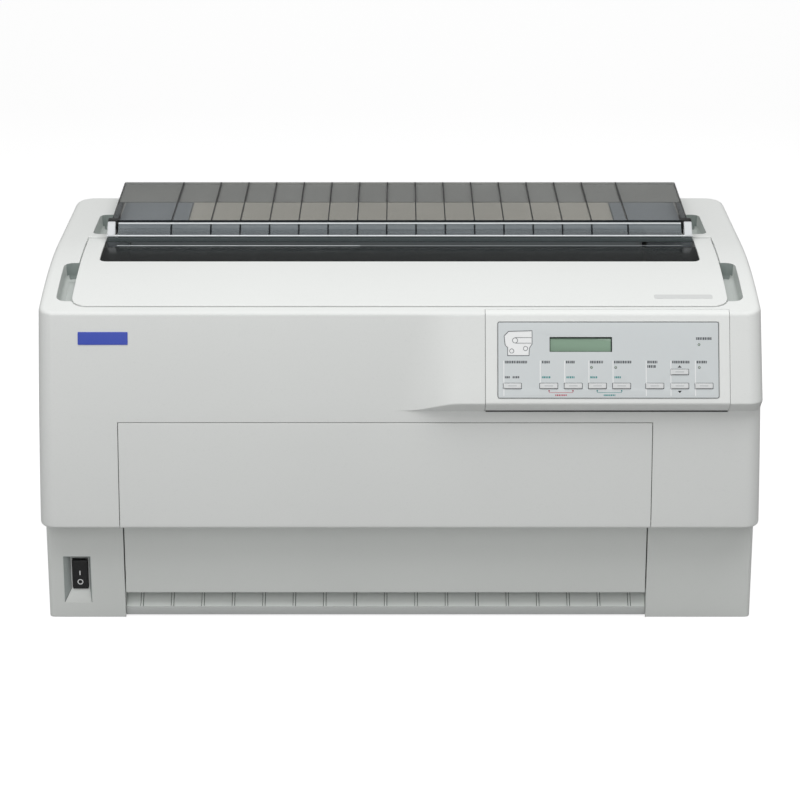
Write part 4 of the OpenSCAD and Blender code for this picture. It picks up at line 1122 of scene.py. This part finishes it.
cap_outline = [(199.6, 346.6), (209.6, 356.6), (211.4, 357.6), (214.2, 357.6), (214.2, 344.6),
               (203, 342.6), (200.8, 344.6)]
bar_span = [(-arm_half, arm_half)]
dress(side_plate("tear_bar", bar_outline, bar_span, edge=0.25), "output_cover", clear_body,
      "clear_edge", "tear_bar")
# The near-white rods along the bar's edges are painted highlights.
dress(rod("tear_bar_polished_edges", [(0.1 - arm_half, arm_half - 0.1, 210.9, 356.1),
                                      (-297.5, 297.5, 200.6, 345.8)], 0, 0.95, sides=16),
      "output_cover", tear_edge_highlight, "clear_edge")
# The dark strip behind the bar's top edge is painted shade; the ticks are the dark ends of the lid's
# ribs.
dress(side_plate("tear_bar_dark_edge", edge_outline, bar_span, 0.2), "output_cover", shade_and_rib_dark,
      "clear_edge")
dress(side_plate("tear_bar_lip", tear_lip_outline, [(-296.5, 296.5)], 0.2), "output_cover",
      smoked_material("smoked_lip", shade(58, 66, 67), 0.8, 0.2), "clear_edge")
rib_rows(("tear_bar_rib_ends", "tear_bar_outer_rib_ends"),
         side_plate("tick", tick_outline, [(-0.85, 0.85)], edge=0.1), shade_and_rib_dark, "clear_edge")
dress(side_plate("tear_bar_end_caps", cap_outline, both_sides(288.8, 296.9)[::-1], edge=1.0),
      "output_cover", cap_silver, "silver_cap", "cover_end_caps")

# ---- key panel ----
# The sloping panel: a pale moulded bezel with a shallow bed, the printed film lying
# in that bed, and openings for the display, nine keys and four small lamps.
slope_len = hypot(edge_z - chin_z, edge_a)
slope_up = ((edge_z - chin_z) / slope_len, edge_a / slope_len)


def slope_at(up, out=0.0):
    """Depth and height of a place this far up the slope from the chin, and proud of it."""
    return (slope_up[1] * up - slope_up[0] * out, chin_z + slope_up[0] * up + slope_up[1] * out)


def on_panel(x, up, out=0.0):
    """A place on the sloping panel: across, up the slope, and proud of it."""
    return at(x, *slope_at(up, out))


def on_panel_at(out):
    """What gives a place on the sloping panel, this far proud of it."""
    return lambda x, up: on_panel(x, up, out)


def circle_loop(x, y, r, steps=16):
    return [(x + r * cos(2 * pi * i / steps), y + r * sin(2 * pi * i / steps)) for i in range(steps)]


# Plans on the slope, as lowest and highest x and lowest and highest place up the slope.
key_w, key_h = 17.4, 5.4
key_row = {"key_tractor": 99, "key_font": 133.8, "key_pitch": 157.2, "key_tear_off": 180.3,
           "key_top_of_form": 203.4, "key_line_feed": 235.1, "key_feed_up": 259,
           "key_feed_down": 259, "key_pause": 282.2}
key_plans = {}
for name, x in key_row.items():
    foot = 28.5 if name == "key_feed_up" else 15.1
    key_plans[name] = (x, x + key_w, foot, foot + key_h)
display_plan = (143.5, 203.2, 50.6, 64.8)
film_plan = (93.8, 305.4, 6.0, 79.4)
lamp_spots = [(286.4, 57.6), (286.6, 35.6), (183.4, 35.6), (206.6, 35.6)]


def panel_openings(extra):
    """Outlines of the panel's openings, each this much larger than what shows in it."""
    holes = [round_outline(*plan, 0.8, 3, -extra) for plan in key_plans.values()]
    holes.append(round_outline(*display_plan, 0.6, 3, -extra))
    return holes + [circle_loop(x, s, 1.2 + extra) for x, s in lamp_spots]


def rounded_edge(sharp, first, second):
    """A side outline's rounded edge, from the place on its first side to the second."""
    sharp, first, second = (Vector(place) for place in (sharp, first, second))
    return [tuple(sharp + (first - sharp) * start + (second - sharp) * end)
            for start, end in quarter(4)]


bezel_xs = spread(panel_left, panel_right, 12)
bed = round_outline(*film_plan, 2.0, 4, -0.45)
plate_low, plate_high, bed_sunk = 2.0, 85.0, 0.6
plate_loop = [(x, plate_low) for x in bezel_xs] + [(x, plate_high) for x in reversed(bezel_xs)]
bezel_net = patch(plate_loop, on_panel, [bed], [], [20, 45, 70])
points, faces = grid_faces([[on_panel(x, s, out) for x, s in bed] for out in (0, -bed_sunk)],
                           ring=True)
add_net(bezel_net, points, [tuple(reversed(face)) for face in faces])
add_net(bezel_net, *patch(bed, on_panel_at(-bed_sunk), panel_openings(0.45)))
back_a = edge_a + 2.3
top_profile = [slope_at(plate_high)]
top_profile += rounded_edge((edge_a, edge_z), slope_at(slope_len - 2.4), (back_a, deck_at(back_a)))
top_profile.append((panel_back - 0.4, deck_at(panel_back - 0.4)))
under_slope = Vector((chin_a, chin_under - chin_z)).normalized()
chin_profile = [(chin_a + 7, chin_under + 0.2), (chin_a + 0.6, chin_under + 0.2),
                (chin_a - 0.5, chin_under + 0.5)]
chin_profile += rounded_edge((0, chin_z), Vector((0, chin_z)) + under_slope * plate_low,
                             slope_at(plate_low))
for profile in (top_profile, chin_profile):
    add_net(bezel_net, *grid_faces([[at(x, a, z) for x in bezel_xs] for a, z in profile]))
# The bezel is painted a lighter grey than the casing: painted light on its upward-facing slope.
panel_lightened = moulded("panel_pale_moulding", shade(237, 239, 237), drift=0.012, gloss=0.5)
dress(mould(new_piece("panel_bezel", *bezel_net), wall=2.6, edge=0.22, limit=45), "chassis",
      panel_lightened, "casing", "panel_bezel")

# Dark strips behind the seams at the panel's sides and under its chin are painted shade in the gaps.
panel_seam_shade = [slope_at(up, out) for up, out in ((0, -3), (86, -3), (86, -4), (0, -4))]
dress(side_plate("panel_side_seals", panel_seam_shade,
                 [(side - 2, side + 2) for side in (panel_left, panel_right)], 0.2), "chassis",
      seam_shade_dark, "rubber")
dress(box_piece("panel_chin_seal", [(panel_left + 0.4, panel_right - 0.4, 13.2, 15, 221.2, 222.2)],
                edge=0.2), "chassis", seam_shade_dark, "rubber")

film_blue = moulded("printed_blue_grey_film", shade(216, 221, 222), drift=0.012, scale=2600.0,
                    relief=0.04, gloss=0.34, dust=0.0, level=0.5)
film_loop = round_outline(*film_plan, 1.6, 4)
film = new_piece("panel_film", *patch(film_loop, on_panel_at(0.05), panel_openings(0.08)))
dress(mould(film, wall=0.5, edge=0), "chassis", film_blue, "overlay", "panel_overlay")


def print_ink(name, *colour):
    return moulded(name, shade(*colour), drift=0.05, scale=3000.0, relief=0.02, gloss=0.45, dust=0.0)


def printed(name, shapes, finish, body="chassis", place=on_panel, high=0.09, low=0.04,
            slot="overlay"):
    """Flat printed marks a few hundredths of a millimetre thick, from closed outlines."""
    net = [], []
    for shape in shapes:
        loop, holes = shape if isinstance(shape, tuple) else (shape, [])
        add_net(net, *patch(loop, lambda x, s: place(x, s, high), holes))
    return dress(mould(new_piece(name, *net), wall=high - low, edge=0), body, finish, slot)


def bar(x0, x1, s0, s1):
    """A printed bar's outline, from its sides in x and its foot and top up the slope."""
    return [(x0, s0), (x1, s0), (x1, s1), (x0, s1)]


def dashes(x0, x1, s, tall, seed):
    """A run of short bars that stands for a word, all of one height."""
    bars, x, step = [], x0, 0
    while x < x1 - 0.7:
        wide = 0.9 + 0.3 * ((seed * 7 + step * 5) % 3)
        bars.append(bar(x, min(x + wide, x1), s, s + tall))
        x += wide + 0.5
        step += 1
    return bars


def words(spans, tall):
    """A word of bars for each span, given as its ends in x and its foot."""
    return [b for n, (x0, x1, s) in enumerate(spans) for b in dashes(x0, x1, s, tall, n)]


ink_white = print_ink("white_print", 246, 247, 247)
ink_dark_and_shade = print_ink("dark_print", 88, 92, 96)
ink_red = print_ink("red_print", 190, 96, 110)
ink_teal = print_ink("teal_print", 70, 150, 150)
# The dark line round the film's edge and the grey rings round the keys are painted shade in the gaps
# there.
printed("panel_border_line", [(film_loop, [round_outline(*film_plan, 1.3, 4, 0.5)])], ink_dark_and_shade)
printed("panel_key_rings", [(round_outline(*plan, 0.8, 3, -0.36), [round_outline(*plan, 0.8, 3, -0.08)])
                            for plan in key_plans.values()], print_ink("grey_print", 126, 131, 135))
long_columns, short_columns = (99.6, 235.7, 259.3, 282.8), (134.4, 157.8, 180.9, 204.0)
printed("panel_column_lines", [bar(x - 0.4, x + 0.4, 8.2 if x in long_columns else 20.9, 42.2)
                               for x in sorted(long_columns + short_columns)], ink_white)
caption_foot, low_foot = 39.5, 25.2
captions = [(100.6, 121.8, caption_foot), (136, 143.6, caption_foot), (159, 168, caption_foot),
            (182, 194.4, caption_foot), (205, 222.4, caption_foot), (236.8, 246.4, caption_foot),
            (236.8, 245, 35.3), (260.6, 277.6, caption_foot), (284, 294.8, caption_foot),
            (283.6, 299.2, 62.1)]
printed("panel_caption_bars", words(captions, 2.5)
        + words([(100.6, 106, low_foot), (108, 115, low_foot)], 2.0), ink_dark_and_shade)
printed("panel_small_bars", words([(136, 144.4, low_foot), (159.4, 167.6, low_foot),
                                   (182.2, 189.2, low_foot), (205.4, 212.4, low_foot)], 1.9),
        ink_teal)
for name, x0, x1, ink in (("panel_left_bracket", 142.8, 165.6, ink_red),
                          ("panel_right_bracket", 188.8, 212.2, ink_teal)):
    mid = (x0 + x1) / 2
    marks = [bar(x0, x1, 11.3, 11.7)] + [bar(x - 0.2, x + 0.2, 11.7, 13.2) for x in (x0, x1)]
    marks += dashes(mid - 5.5, mid + 5.5, 8.2, 1.5, 3)
    printed(name, marks + [circle_loop(x, 13.2, 0.8, 8) for x in (x0, x1)], ink)
arrow_x, arrow = 267.7, 2.0
printed("panel_arrows", [[(arrow_x - arrow, 35.4), (arrow_x + arrow, 35.4), (arrow_x, 37.6)],
                         [(arrow_x - arrow, 13.2), (arrow_x, 11.0), (arrow_x + arrow, 13.2)]],
        print_ink("black_print", 40, 42, 46))

# A small diagram of a feed unit's side, in plain outlines.
case_loop = [(99.6, 66), (104, 70.6), (127, 71.2), (127, 58), (124.4, 54), (124, 46.6), (103, 46.6),
             (103, 54.6), (100.6, 57)]
inner_loop = [(100.3, 65.7), (104.3, 69.9), (126.4, 70.5), (126.4, 58.2), (123.8, 54.2),
              (123.4, 47.3), (103.6, 47.3), (103.6, 54.9), (101.3, 57.1)]
rings = [(110.4, 61.6, 2.7), (107.2, 51.4, 2.3), (120.4, 53.8, 2.3)]
printed("panel_diagram_ground", [inner_loop], ink_white, high=0.08)
diagram = [(case_loop, [inner_loop])]
diagram += [(circle_loop(x, s, r, 20), [circle_loop(x, s, r - 0.5, 20)]) for x, s, r in rings]
diagram += [bar(110.4, 126.2, 64.0, 64.5), bar(110.4, 126.2, 58.7, 59.2)]
printed("panel_diagram_lines", diagram, ink_dark_and_shade, high=0.12, low=0.07)


def capped(rows, both=False):
    """A net round closed rows, with the last closed off, and the first too if both are."""
    points, faces = grid_faces(rows, ring=True)
    count, last = len(rows[0]), len(points)
    faces.append(tuple(range(last - count, last)))
    if both:
        faces.append(tuple(reversed(range(count))))
    return points, faces


# The keys: nine small smooth caps, each standing in its own hole with one short
# engraved line, and pressed down on the board behind.
cap_grey = moulded("key_cap_moulding", shade(226, 228, 228), drift=0.02, relief=0.03, gloss=0.32,
                   dust=0.0, level=0.5)
key_line = print_ink("engraved_line", 168, 172, 174)
for name, plan in key_plans.items():
    rows = [[on_panel(x, s, out) for x, s in round_outline(*plan, max(0.2, 0.8 - inset), 3, inset)]
            for out, inset in ((-5.6, 0.22), (0.4, 0.22), (0.8, 0.34), (0.96, 0.62), (1.0, 0.95))]
    dress(mould(new_piece(name + "_cap", *capped(rows, both=True)), edge=0), name, cap_grey,
          "key_cap", name)
    printed(name + "_line", [bar(plan[0] + 4.6, plan[1] - 4.6, plan[2] + 2.5, plan[2] + 2.95)],
            key_line, name, high=1.04, low=0.96, slot="key_cap")

# The display: a green liquid crystal window in a dark edge, painted shade that is widest at the top and
# right, and four unlit lamps.
glass_green = moulded("display_green", shade(142, 170, 148), drift=0.04, scale=900.0, relief=0.0,
                      gloss=0.12, dust=0.0, level=0.5, coat=0.8)
display_shade_dark = moulded("display_rim", shade(70, 84, 76), drift=0.04, relief=0.05, gloss=0.4)
display_loop = round_outline(*display_plan, 0.6, 3, 0.05)
view_loop = round_outline(display_plan[0] + 0.5, display_plan[1] - 1.1, display_plan[2] + 0.3,
                          display_plan[3] - 1.2, 0.5, 3)
printed("display_rim", [(display_loop, [view_loop])], display_shade_dark, high=-0.7, low=-3.6, slot="display")
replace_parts(printed("display_glass", [display_loop], glass_green, high=-1.5, low=-3.4,
                    slot="display"), "lcd_module")
lamp_lens = moulded("lamp_lens", shade(186, 188, 184), drift=0.05, relief=0.0, gloss=0.15,
                    dust=0.0, coat=0.5)
lens_net = [], []
for x, s in lamp_spots:
    add_net(lens_net, *capped([[on_panel(u, v, out) for u, v in circle_loop(x, s, r)] for r, out in (
        (1.15, -3), (1.15, -0.2), (0.95, 0.15), (0.55, 0.33), (0.15, 0.4))]))
dress(mould(new_piece("panel_lamp_lenses", *lens_net), edge=0), "chassis", lamp_lens, "display")

# ---- blue plate ----
# A small plain blue plate let into the front face, enamelled, and pressed into a
# matching recess until it stands half a millimetre proud.
plate_blue = moulded("blue_enamel_plate", shade(53, 78, 188), drift=0.03, scale=2200.0, relief=0.03,
                     gloss=0.3, dust=0.0, coat=0.4)
badge_x, badge_z, badge_w, badge_h = -284.8, 290.2, 48.0, 12.4
face_tilt = (face_at(badge_z + 6) - face_at(badge_z - 6)) / 12
tilt_len = hypot(1, face_tilt)


def on_face(x, up, out=0.0):
    """A place on the front face at the plate: across, up the face, and proud of it."""
    depth = face_at(badge_z) + (up * face_tilt - out) / tilt_len
    return at(x, depth, badge_z + (up + out * face_tilt) / tilt_len)


plate_rows = [[on_face(x, up, out) for x, up in round_outline(
    badge_x - badge_w / 2, badge_x + badge_w / 2, -badge_h / 2, badge_h / 2, 0.7, 3, inset)]
    for out, inset in ((-2.6, 0.0), (0.15, 0.0), (0.4, 0.1), (0.5, 0.35))]
dress(mould(new_piece("blue_plate", *capped(plate_rows)), edge=0), "chassis", plate_blue, "badge",
      "badge_plate")

# ---- power switch ----
# A black rocker in its frame, deep in the scoop of the base's front, moulded in gloss
# plastic with a bar and a ring in white. Its lower end is pressed in.
gloss_black = moulded("gloss_black_moulding", shade(27, 28, 29), drift=0.05, relief=0.05, gloss=0.24,
                      dust=0.0, level=0.5)
frame_plan, well_plan = (-327.0, -305.9, 27.2, 63.6), (-324.4, -308.2, 29.4, 61.4)
frame_rows = [[at(x, a, z) for x, z in round_outline(*plan, r, 3)]
              for plan, r, a in ((frame_plan, 1.0, 40.0), (frame_plan, 1.0, 34.2),
                                 (well_plan, 0.8, 34.2), (well_plan, 0.8, 41.6))]
dress(mould(new_piece("switch_frame", *capped(frame_rows)), edge=0.25), "chassis", base_grey,
      "base_casing", "switch_surround")

rocker_a, rocker_z, rocker_half = 38.0, 45.2, 15.3
rocker_turn = radians(5)


def on_rocker(x, out, up):
    """A place on the tilted rocker: across, behind its pin, and up along it."""
    return at(x, rocker_a + out * cos(rocker_turn) - up * sin(rocker_turn),
              rocker_z + out * sin(rocker_turn) + up * cos(rocker_turn))


rocker_line = [(-6.7, rocker_half), (-6.45, 7), (-6.4, 0), (-6.55, -7), (-6.9, -rocker_half),
               (-1, -rocker_half), (2.5, -4), (2.5, 4), (-1, rocker_half)]
rocker_rows = [[on_rocker(x, a, z) for a, z in rocker_line] for x in (-323.8, -308.8)]
rocker = new_piece("switch_rocker", *capped(rocker_rows, both=True))
dress(mould(rocker, edge=0.35, limit=40, outward=True), "switch_rocker", gloss_black,
      "black_plastic", "switch_rocker")


def rocker_face(x, up, out):
    return on_rocker(x, -6.4 - 0.2 * abs(up) / 7 - out, up)


mark_x = (well_plan[0] + well_plan[1]) / 2
ring_mark = (circle_loop(mark_x, -7.8, 2.9, 24), [circle_loop(mark_x, -7.8, 1.95, 24)])
printed("switch_marks", [bar(mark_x - 0.5, mark_x + 0.5, -0.4, 4.4), ring_mark], ink_white,
        "switch_rocker", rocker_face, high=0.16, low=0.02, slot="black_plastic")

# ---- feet ----
# Four black rubber feet: round moulded pads that carry the printer, pressed into the
# base's floor near its corners.
rubber_black = moulded("black_rubber", shade(38, 38, 39), drift=0.06, scale=900.0, relief=0.2,
                       gloss=0.75, level=0.3)
foot_ends = [(0, 1.4, x, a) for x in (-310, 310) for a in (66, 340)]
dress(rod("rubber_feet", foot_ends, 2, 12, edge=0.4), "chassis", rubber_black, "rubber",
      "rubber_feet")

# ---- rear connections ----
# Mains inlet, two interface sockets and the fan's louvres in the base's rear wall, all
# pushed in from inside and held by their own clips and screws.


def worked_metal_group():
    """Rolled or ground metal: fine streaks along one way, with slow stains."""
    group, given, place = texture_group("worked_metal", {
        "Colour": (0.6, 0.6, 0.6, 1), "Along": (40, 900, 900), "Streak Relief": 0.1, "Gloss": 0.3,
        "Stain": 0.1})
    drawn = add_node(group, "ShaderNodeVectorMath", {0: place, 1: given["Along"]},
                     operation="MULTIPLY")
    streak = noise(group, 1.0, 3.0, Vector=drawn.outputs[0])
    blot = add_node(group, "ShaderNodeTexVoronoi", {"Vector": place, "Scale": 70.0})
    cloud = noise(group, 8.0, 4.0, Vector=place)
    fine = spread_over(group, streak, -0.08, 0.08)
    both = maths(group, "MULTIPLY", blot.outputs["Color"], cloud)
    worn = maths(group, "MULTIPLY", both, given["Stain"])
    rough = maths(group, "ADD", maths(group, "ADD", worn, given["Gloss"]), fine)
    return end_group(group, given["Colour"], maths(group, "SUBTRACT", fine, worn), rough, streak,
                     given["Streak Relief"], 0.0002)


worked_metal = worked_metal_group()


def metal(name, colour, along=(40, 900, 900), relief=0.1, gloss=0.3, stain=0.15):
    """A metal material built on the streaks and stains of the worked metal group."""
    return textured(name, worked_metal, {"Colour": colour, "Along": along, "Streak Relief": relief,
                                         "Gloss": gloss, "Stain": stain}, {"Metallic": 1.0})


def finish_nodes(finish, *names):
    """Gives carried-over solids a material."""
    for name in names:
        for place in nodes[name].material_slots:
            place.material = finish


matt_black = moulded("matt_black_moulding", shade(38, 39, 41), drift=0.05, relief=0.15, gloss=0.42)
zinc_sheet = metal("zinc_plated_sheet", shade(186, 188, 190), along=(30, 500, 500), gloss=0.38,
                   stain=0.2)
finish_nodes(matt_black, "power_inlet", "fan_frame")
finish_nodes(zinc_sheet, "interface_ports")
blades = [(x - 0.9, x + 0.9, 358, 369.5, 38.2, 45.8) for x in (-318, -311, -304)]
dress(box_piece("inlet_blades", blades, edge=0.3), "chassis", zinc_sheet, "steel")

# Shapes to repeat stand at the origin, so their depth is counted from there.
slat = rod("slat", [(-22.1, 22.1, -front_y, 0)], 0, 1.15, sides=16, edge=0.1)
slat.data.transform(Matrix.Diagonal((1, 1.4, 1, 1)))
row_of("fan_louvres", slat, 7, (0.3, 0.1805, 0.0332), (0, 0, 0.0063), base_grey,
       slot="base_casing")
pin = rod("pin", [(-front_y, 6 - front_y, 0, 0)], 1, 0.45, sides=10, edge=0.1)
for name, count, x, z, step in (("parallel_pins_low", 18, 0.1337, 0.0358, 0.00285),
                                ("parallel_pins_high", 18, 0.1337, 0.0402, 0.00285),
                                ("serial_pins", 4, 0.2, 0.037, 0.0027)):
    row_of(name, pin, count, (x, 0.1705, z), (step, 0, 0), zinc_sheet, slot="steel")


def screw_head(name, r, high):
    """A pan head with a cross slot, its top facing up from the origin."""
    rings = [[Vector((x, y, z)) for x, y in circle_loop(0, 0, s)]
             for s, z in ((r, 0), (r, high * 0.45), (r * 0.86, high * 0.85), (r * 0.6, high))]
    points, faces = grid_faces(rings, ring=True)
    top, side = len(points), len(rings[0])
    last = top - side
    points.append(Vector((0, 0, high)))
    faces += [(top, last + i, last + (i + 1) % side) for i in range(side)]
    arm, half, deep = r * 0.55, r * 0.11, high * 1.02
    for x, y in ((arm, half), (half, arm)):
        corners = ((-x, -y), (x, -y), (x, y), (-x, y))
        add_net((points, faces), [Vector((*corner, deep)) for corner in corners], [(0, 1, 2, 3)])
    return mould(new_piece(name, points, faces), edge=0)


steel_screw = metal("nickel_screw", shade(176, 174, 168), along=(300, 300, 300), gloss=0.3, stain=0.1)
head = screw_head("head", 0.0034, 0.0014)
head.data.transform(Matrix.Rotation(-pi / 2, 4, "X"))
for name, count, first, spacing in (
        ("rear_low_screws", 4, (-0.27, 0.18305, 0.09), (0.17, 0, 0)),
        ("inlet_screws", 2, (-0.3313, 0.1852, 0.042), (0.0406, 0, 0)),
        ("fan_screws", 2, (0.2735, 0.18305, 0.079), (0.053, 0, 0)),
        ("rear_casing_screws", 2, (-0.306, 0.19105, 0.2), (0.612, 0, 0))):
    row_of(name, head, count, first, spacing, steel_screw, slot="steel")
discard(slat, pin, head)

# ---- frame and electrics ----
# Zinc-plated side frames and floor plate, bolted to the base. The main board stands on
# six posts, with its chips, heat sink and capacitors soldered on.
ground_steel = metal("ground_rod_steel", shade(206, 208, 210), along=(20, 1500, 1500), gloss=0.16,
                     stain=0.05)
finish_nodes(zinc_sheet, "base_plate", "side_frame_left", "side_frame_right", "power_supply")
finish_nodes(ground_steel, "guide_rods", "front_feed_shaft", "rear_feed_shaft", "feed_pulley",
             "drive_pulley", "idler_pulley")
finish_nodes(metal("black_oxide_motor", shade(66, 67, 70), along=(400, 60, 60), gloss=0.4,
                   stain=0.2), "feed_motor", "carriage_motor")
finish_nodes(gloss_black, "fan_rotor")


def circuit_material():
    """Green board: lighter tracks in an even net under the lacquer, and solder dots."""
    finish, tree, surface = new_material("green_circuit_board")
    place = add_node(tree, "ShaderNodeTexCoord").outputs["Object"]
    track = add_node(tree, "ShaderNodeTexBrick", {"Vector": place, "Color1": shade(26, 84, 52),
                     "Color2": shade(30, 92, 58), "Mortar": shade(70, 132, 88), "Scale": 1.0,
                     "Mortar Size": 0.0005, "Brick Width": 0.017, "Row Height": 0.0036})
    dot = add_node(tree, "ShaderNodeTexVoronoi", {"Vector": place, "Scale": 190.0, "Randomness": 0.7})
    pad = spread_over(tree, dot.outputs["Distance"], 1.0, 0.0, 0.14, 0.2)
    set_inputs(tree, surface, {
        "Base Color": blend(tree, pad, track.outputs["Color"], shade(190, 192, 186)),
        "Roughness": spread_over(tree, pad, 0.32, 0.22), "Coat Weight": 0.3})
    return finish


circuit_green = circuit_material()
finish_nodes(circuit_green, "panel_board")
dress(box_piece("main_board", [(-230, 212, 190, 340, 20, 21.6)], edge=0.3), "chassis",
      circuit_green, "circuit", "main_board")
chips = [(-200 + 70 * i, -165 + 70 * i, 215, 250, 21.6, 26) for i in range(4)]
chips += [(-218 + 38 * i, -198 + 38 * i, 262, 270, 21.6, 24.6) for i in range(10)]
dress(box_piece("board_chips", chips), "chassis", matt_black, "circuit")
fin = box_piece("fin", [(-2, 2, 280, 325, 21.6, 45.6)], edge=0.3, steps=1)
row_of("board_heat_sink", fin, 6, (-0.188, 0, 0), (0.018, 0, 0), zinc_sheet, slot="circuit")
can = rod("can", [(21.6, 47.6, 30, 305)], 2, 9, edge=1.0)
sleeve_blue = moulded("capacitor_sleeve", shade(38, 44, 74), drift=0.04, relief=0.0, gloss=0.25)
row_of("board_capacitors", can, 5, (0, 0, 0), (0.026, 0, 0), sleeve_blue, slot="circuit")
post_ends = [(7.5, 20.2, x, a) for x in (-222, -10, 204) for a in (196, 334)]
dress(rod("board_posts", post_ends, 2, 4), "chassis", zinc_sheet, "circuit")
discard(fin, can)

# ---- print mechanism ----
# Rubber-covered platen, carriage with its finned print head on two ground rods, toothed
# belts, ribbon cartridge and four sprocket tractors with hinged paper flaps.
platen_at = (205, 290)
dress(rod("platen_roller", [(-224, 196, *platen_at)], 0, 17, sides=64, edge=0.6), "platen",
      rubber_black, "rubber", "platen")
dress(rod("platen_shaft", [(-282.5, 266.5, *platen_at)], 0, 5), "platen", ground_steel,
      "ground_steel")
for name, ends, r in (("platen_wheel", [(253.5, 263.5)], 16),
                      ("platen_wheel_rims", [(252.6, 254), (263.1, 264.5)], 18)):
    dress(rod(name, [(*pair, *platen_at) for pair in ends], 0, r, sides=48), "platen", matt_black,
          "dark_plastic")
cast_grey = moulded("cast_aluminium_head", shade(96, 98, 102), drift=0.05, scale=800.0, relief=0.25,
                    gloss=0.45, metal=0.7)
dark_grey = moulded("dark_grey_moulding", shade(62, 64, 68), drift=0.04, relief=0.15, gloss=0.45)
mid_grey = moulded("mid_grey_moulding", shade(92, 94, 98), drift=0.04, relief=0.12, gloss=0.4)
finish_nodes(cast_grey, "print_head")
finish_nodes(matt_black, "carriage", "ribbon_cartridge", "ribbon_knob")
for part, finish in (("tractor", dark_grey), ("flap", mid_grey)):
    finish_nodes(finish, *(f"{end}_{part}_{side}" for end in ("front", "rear")
                           for side in ("left", "right")))
finish_nodes(rubber_black, "carriage_belt", "feed_belt")
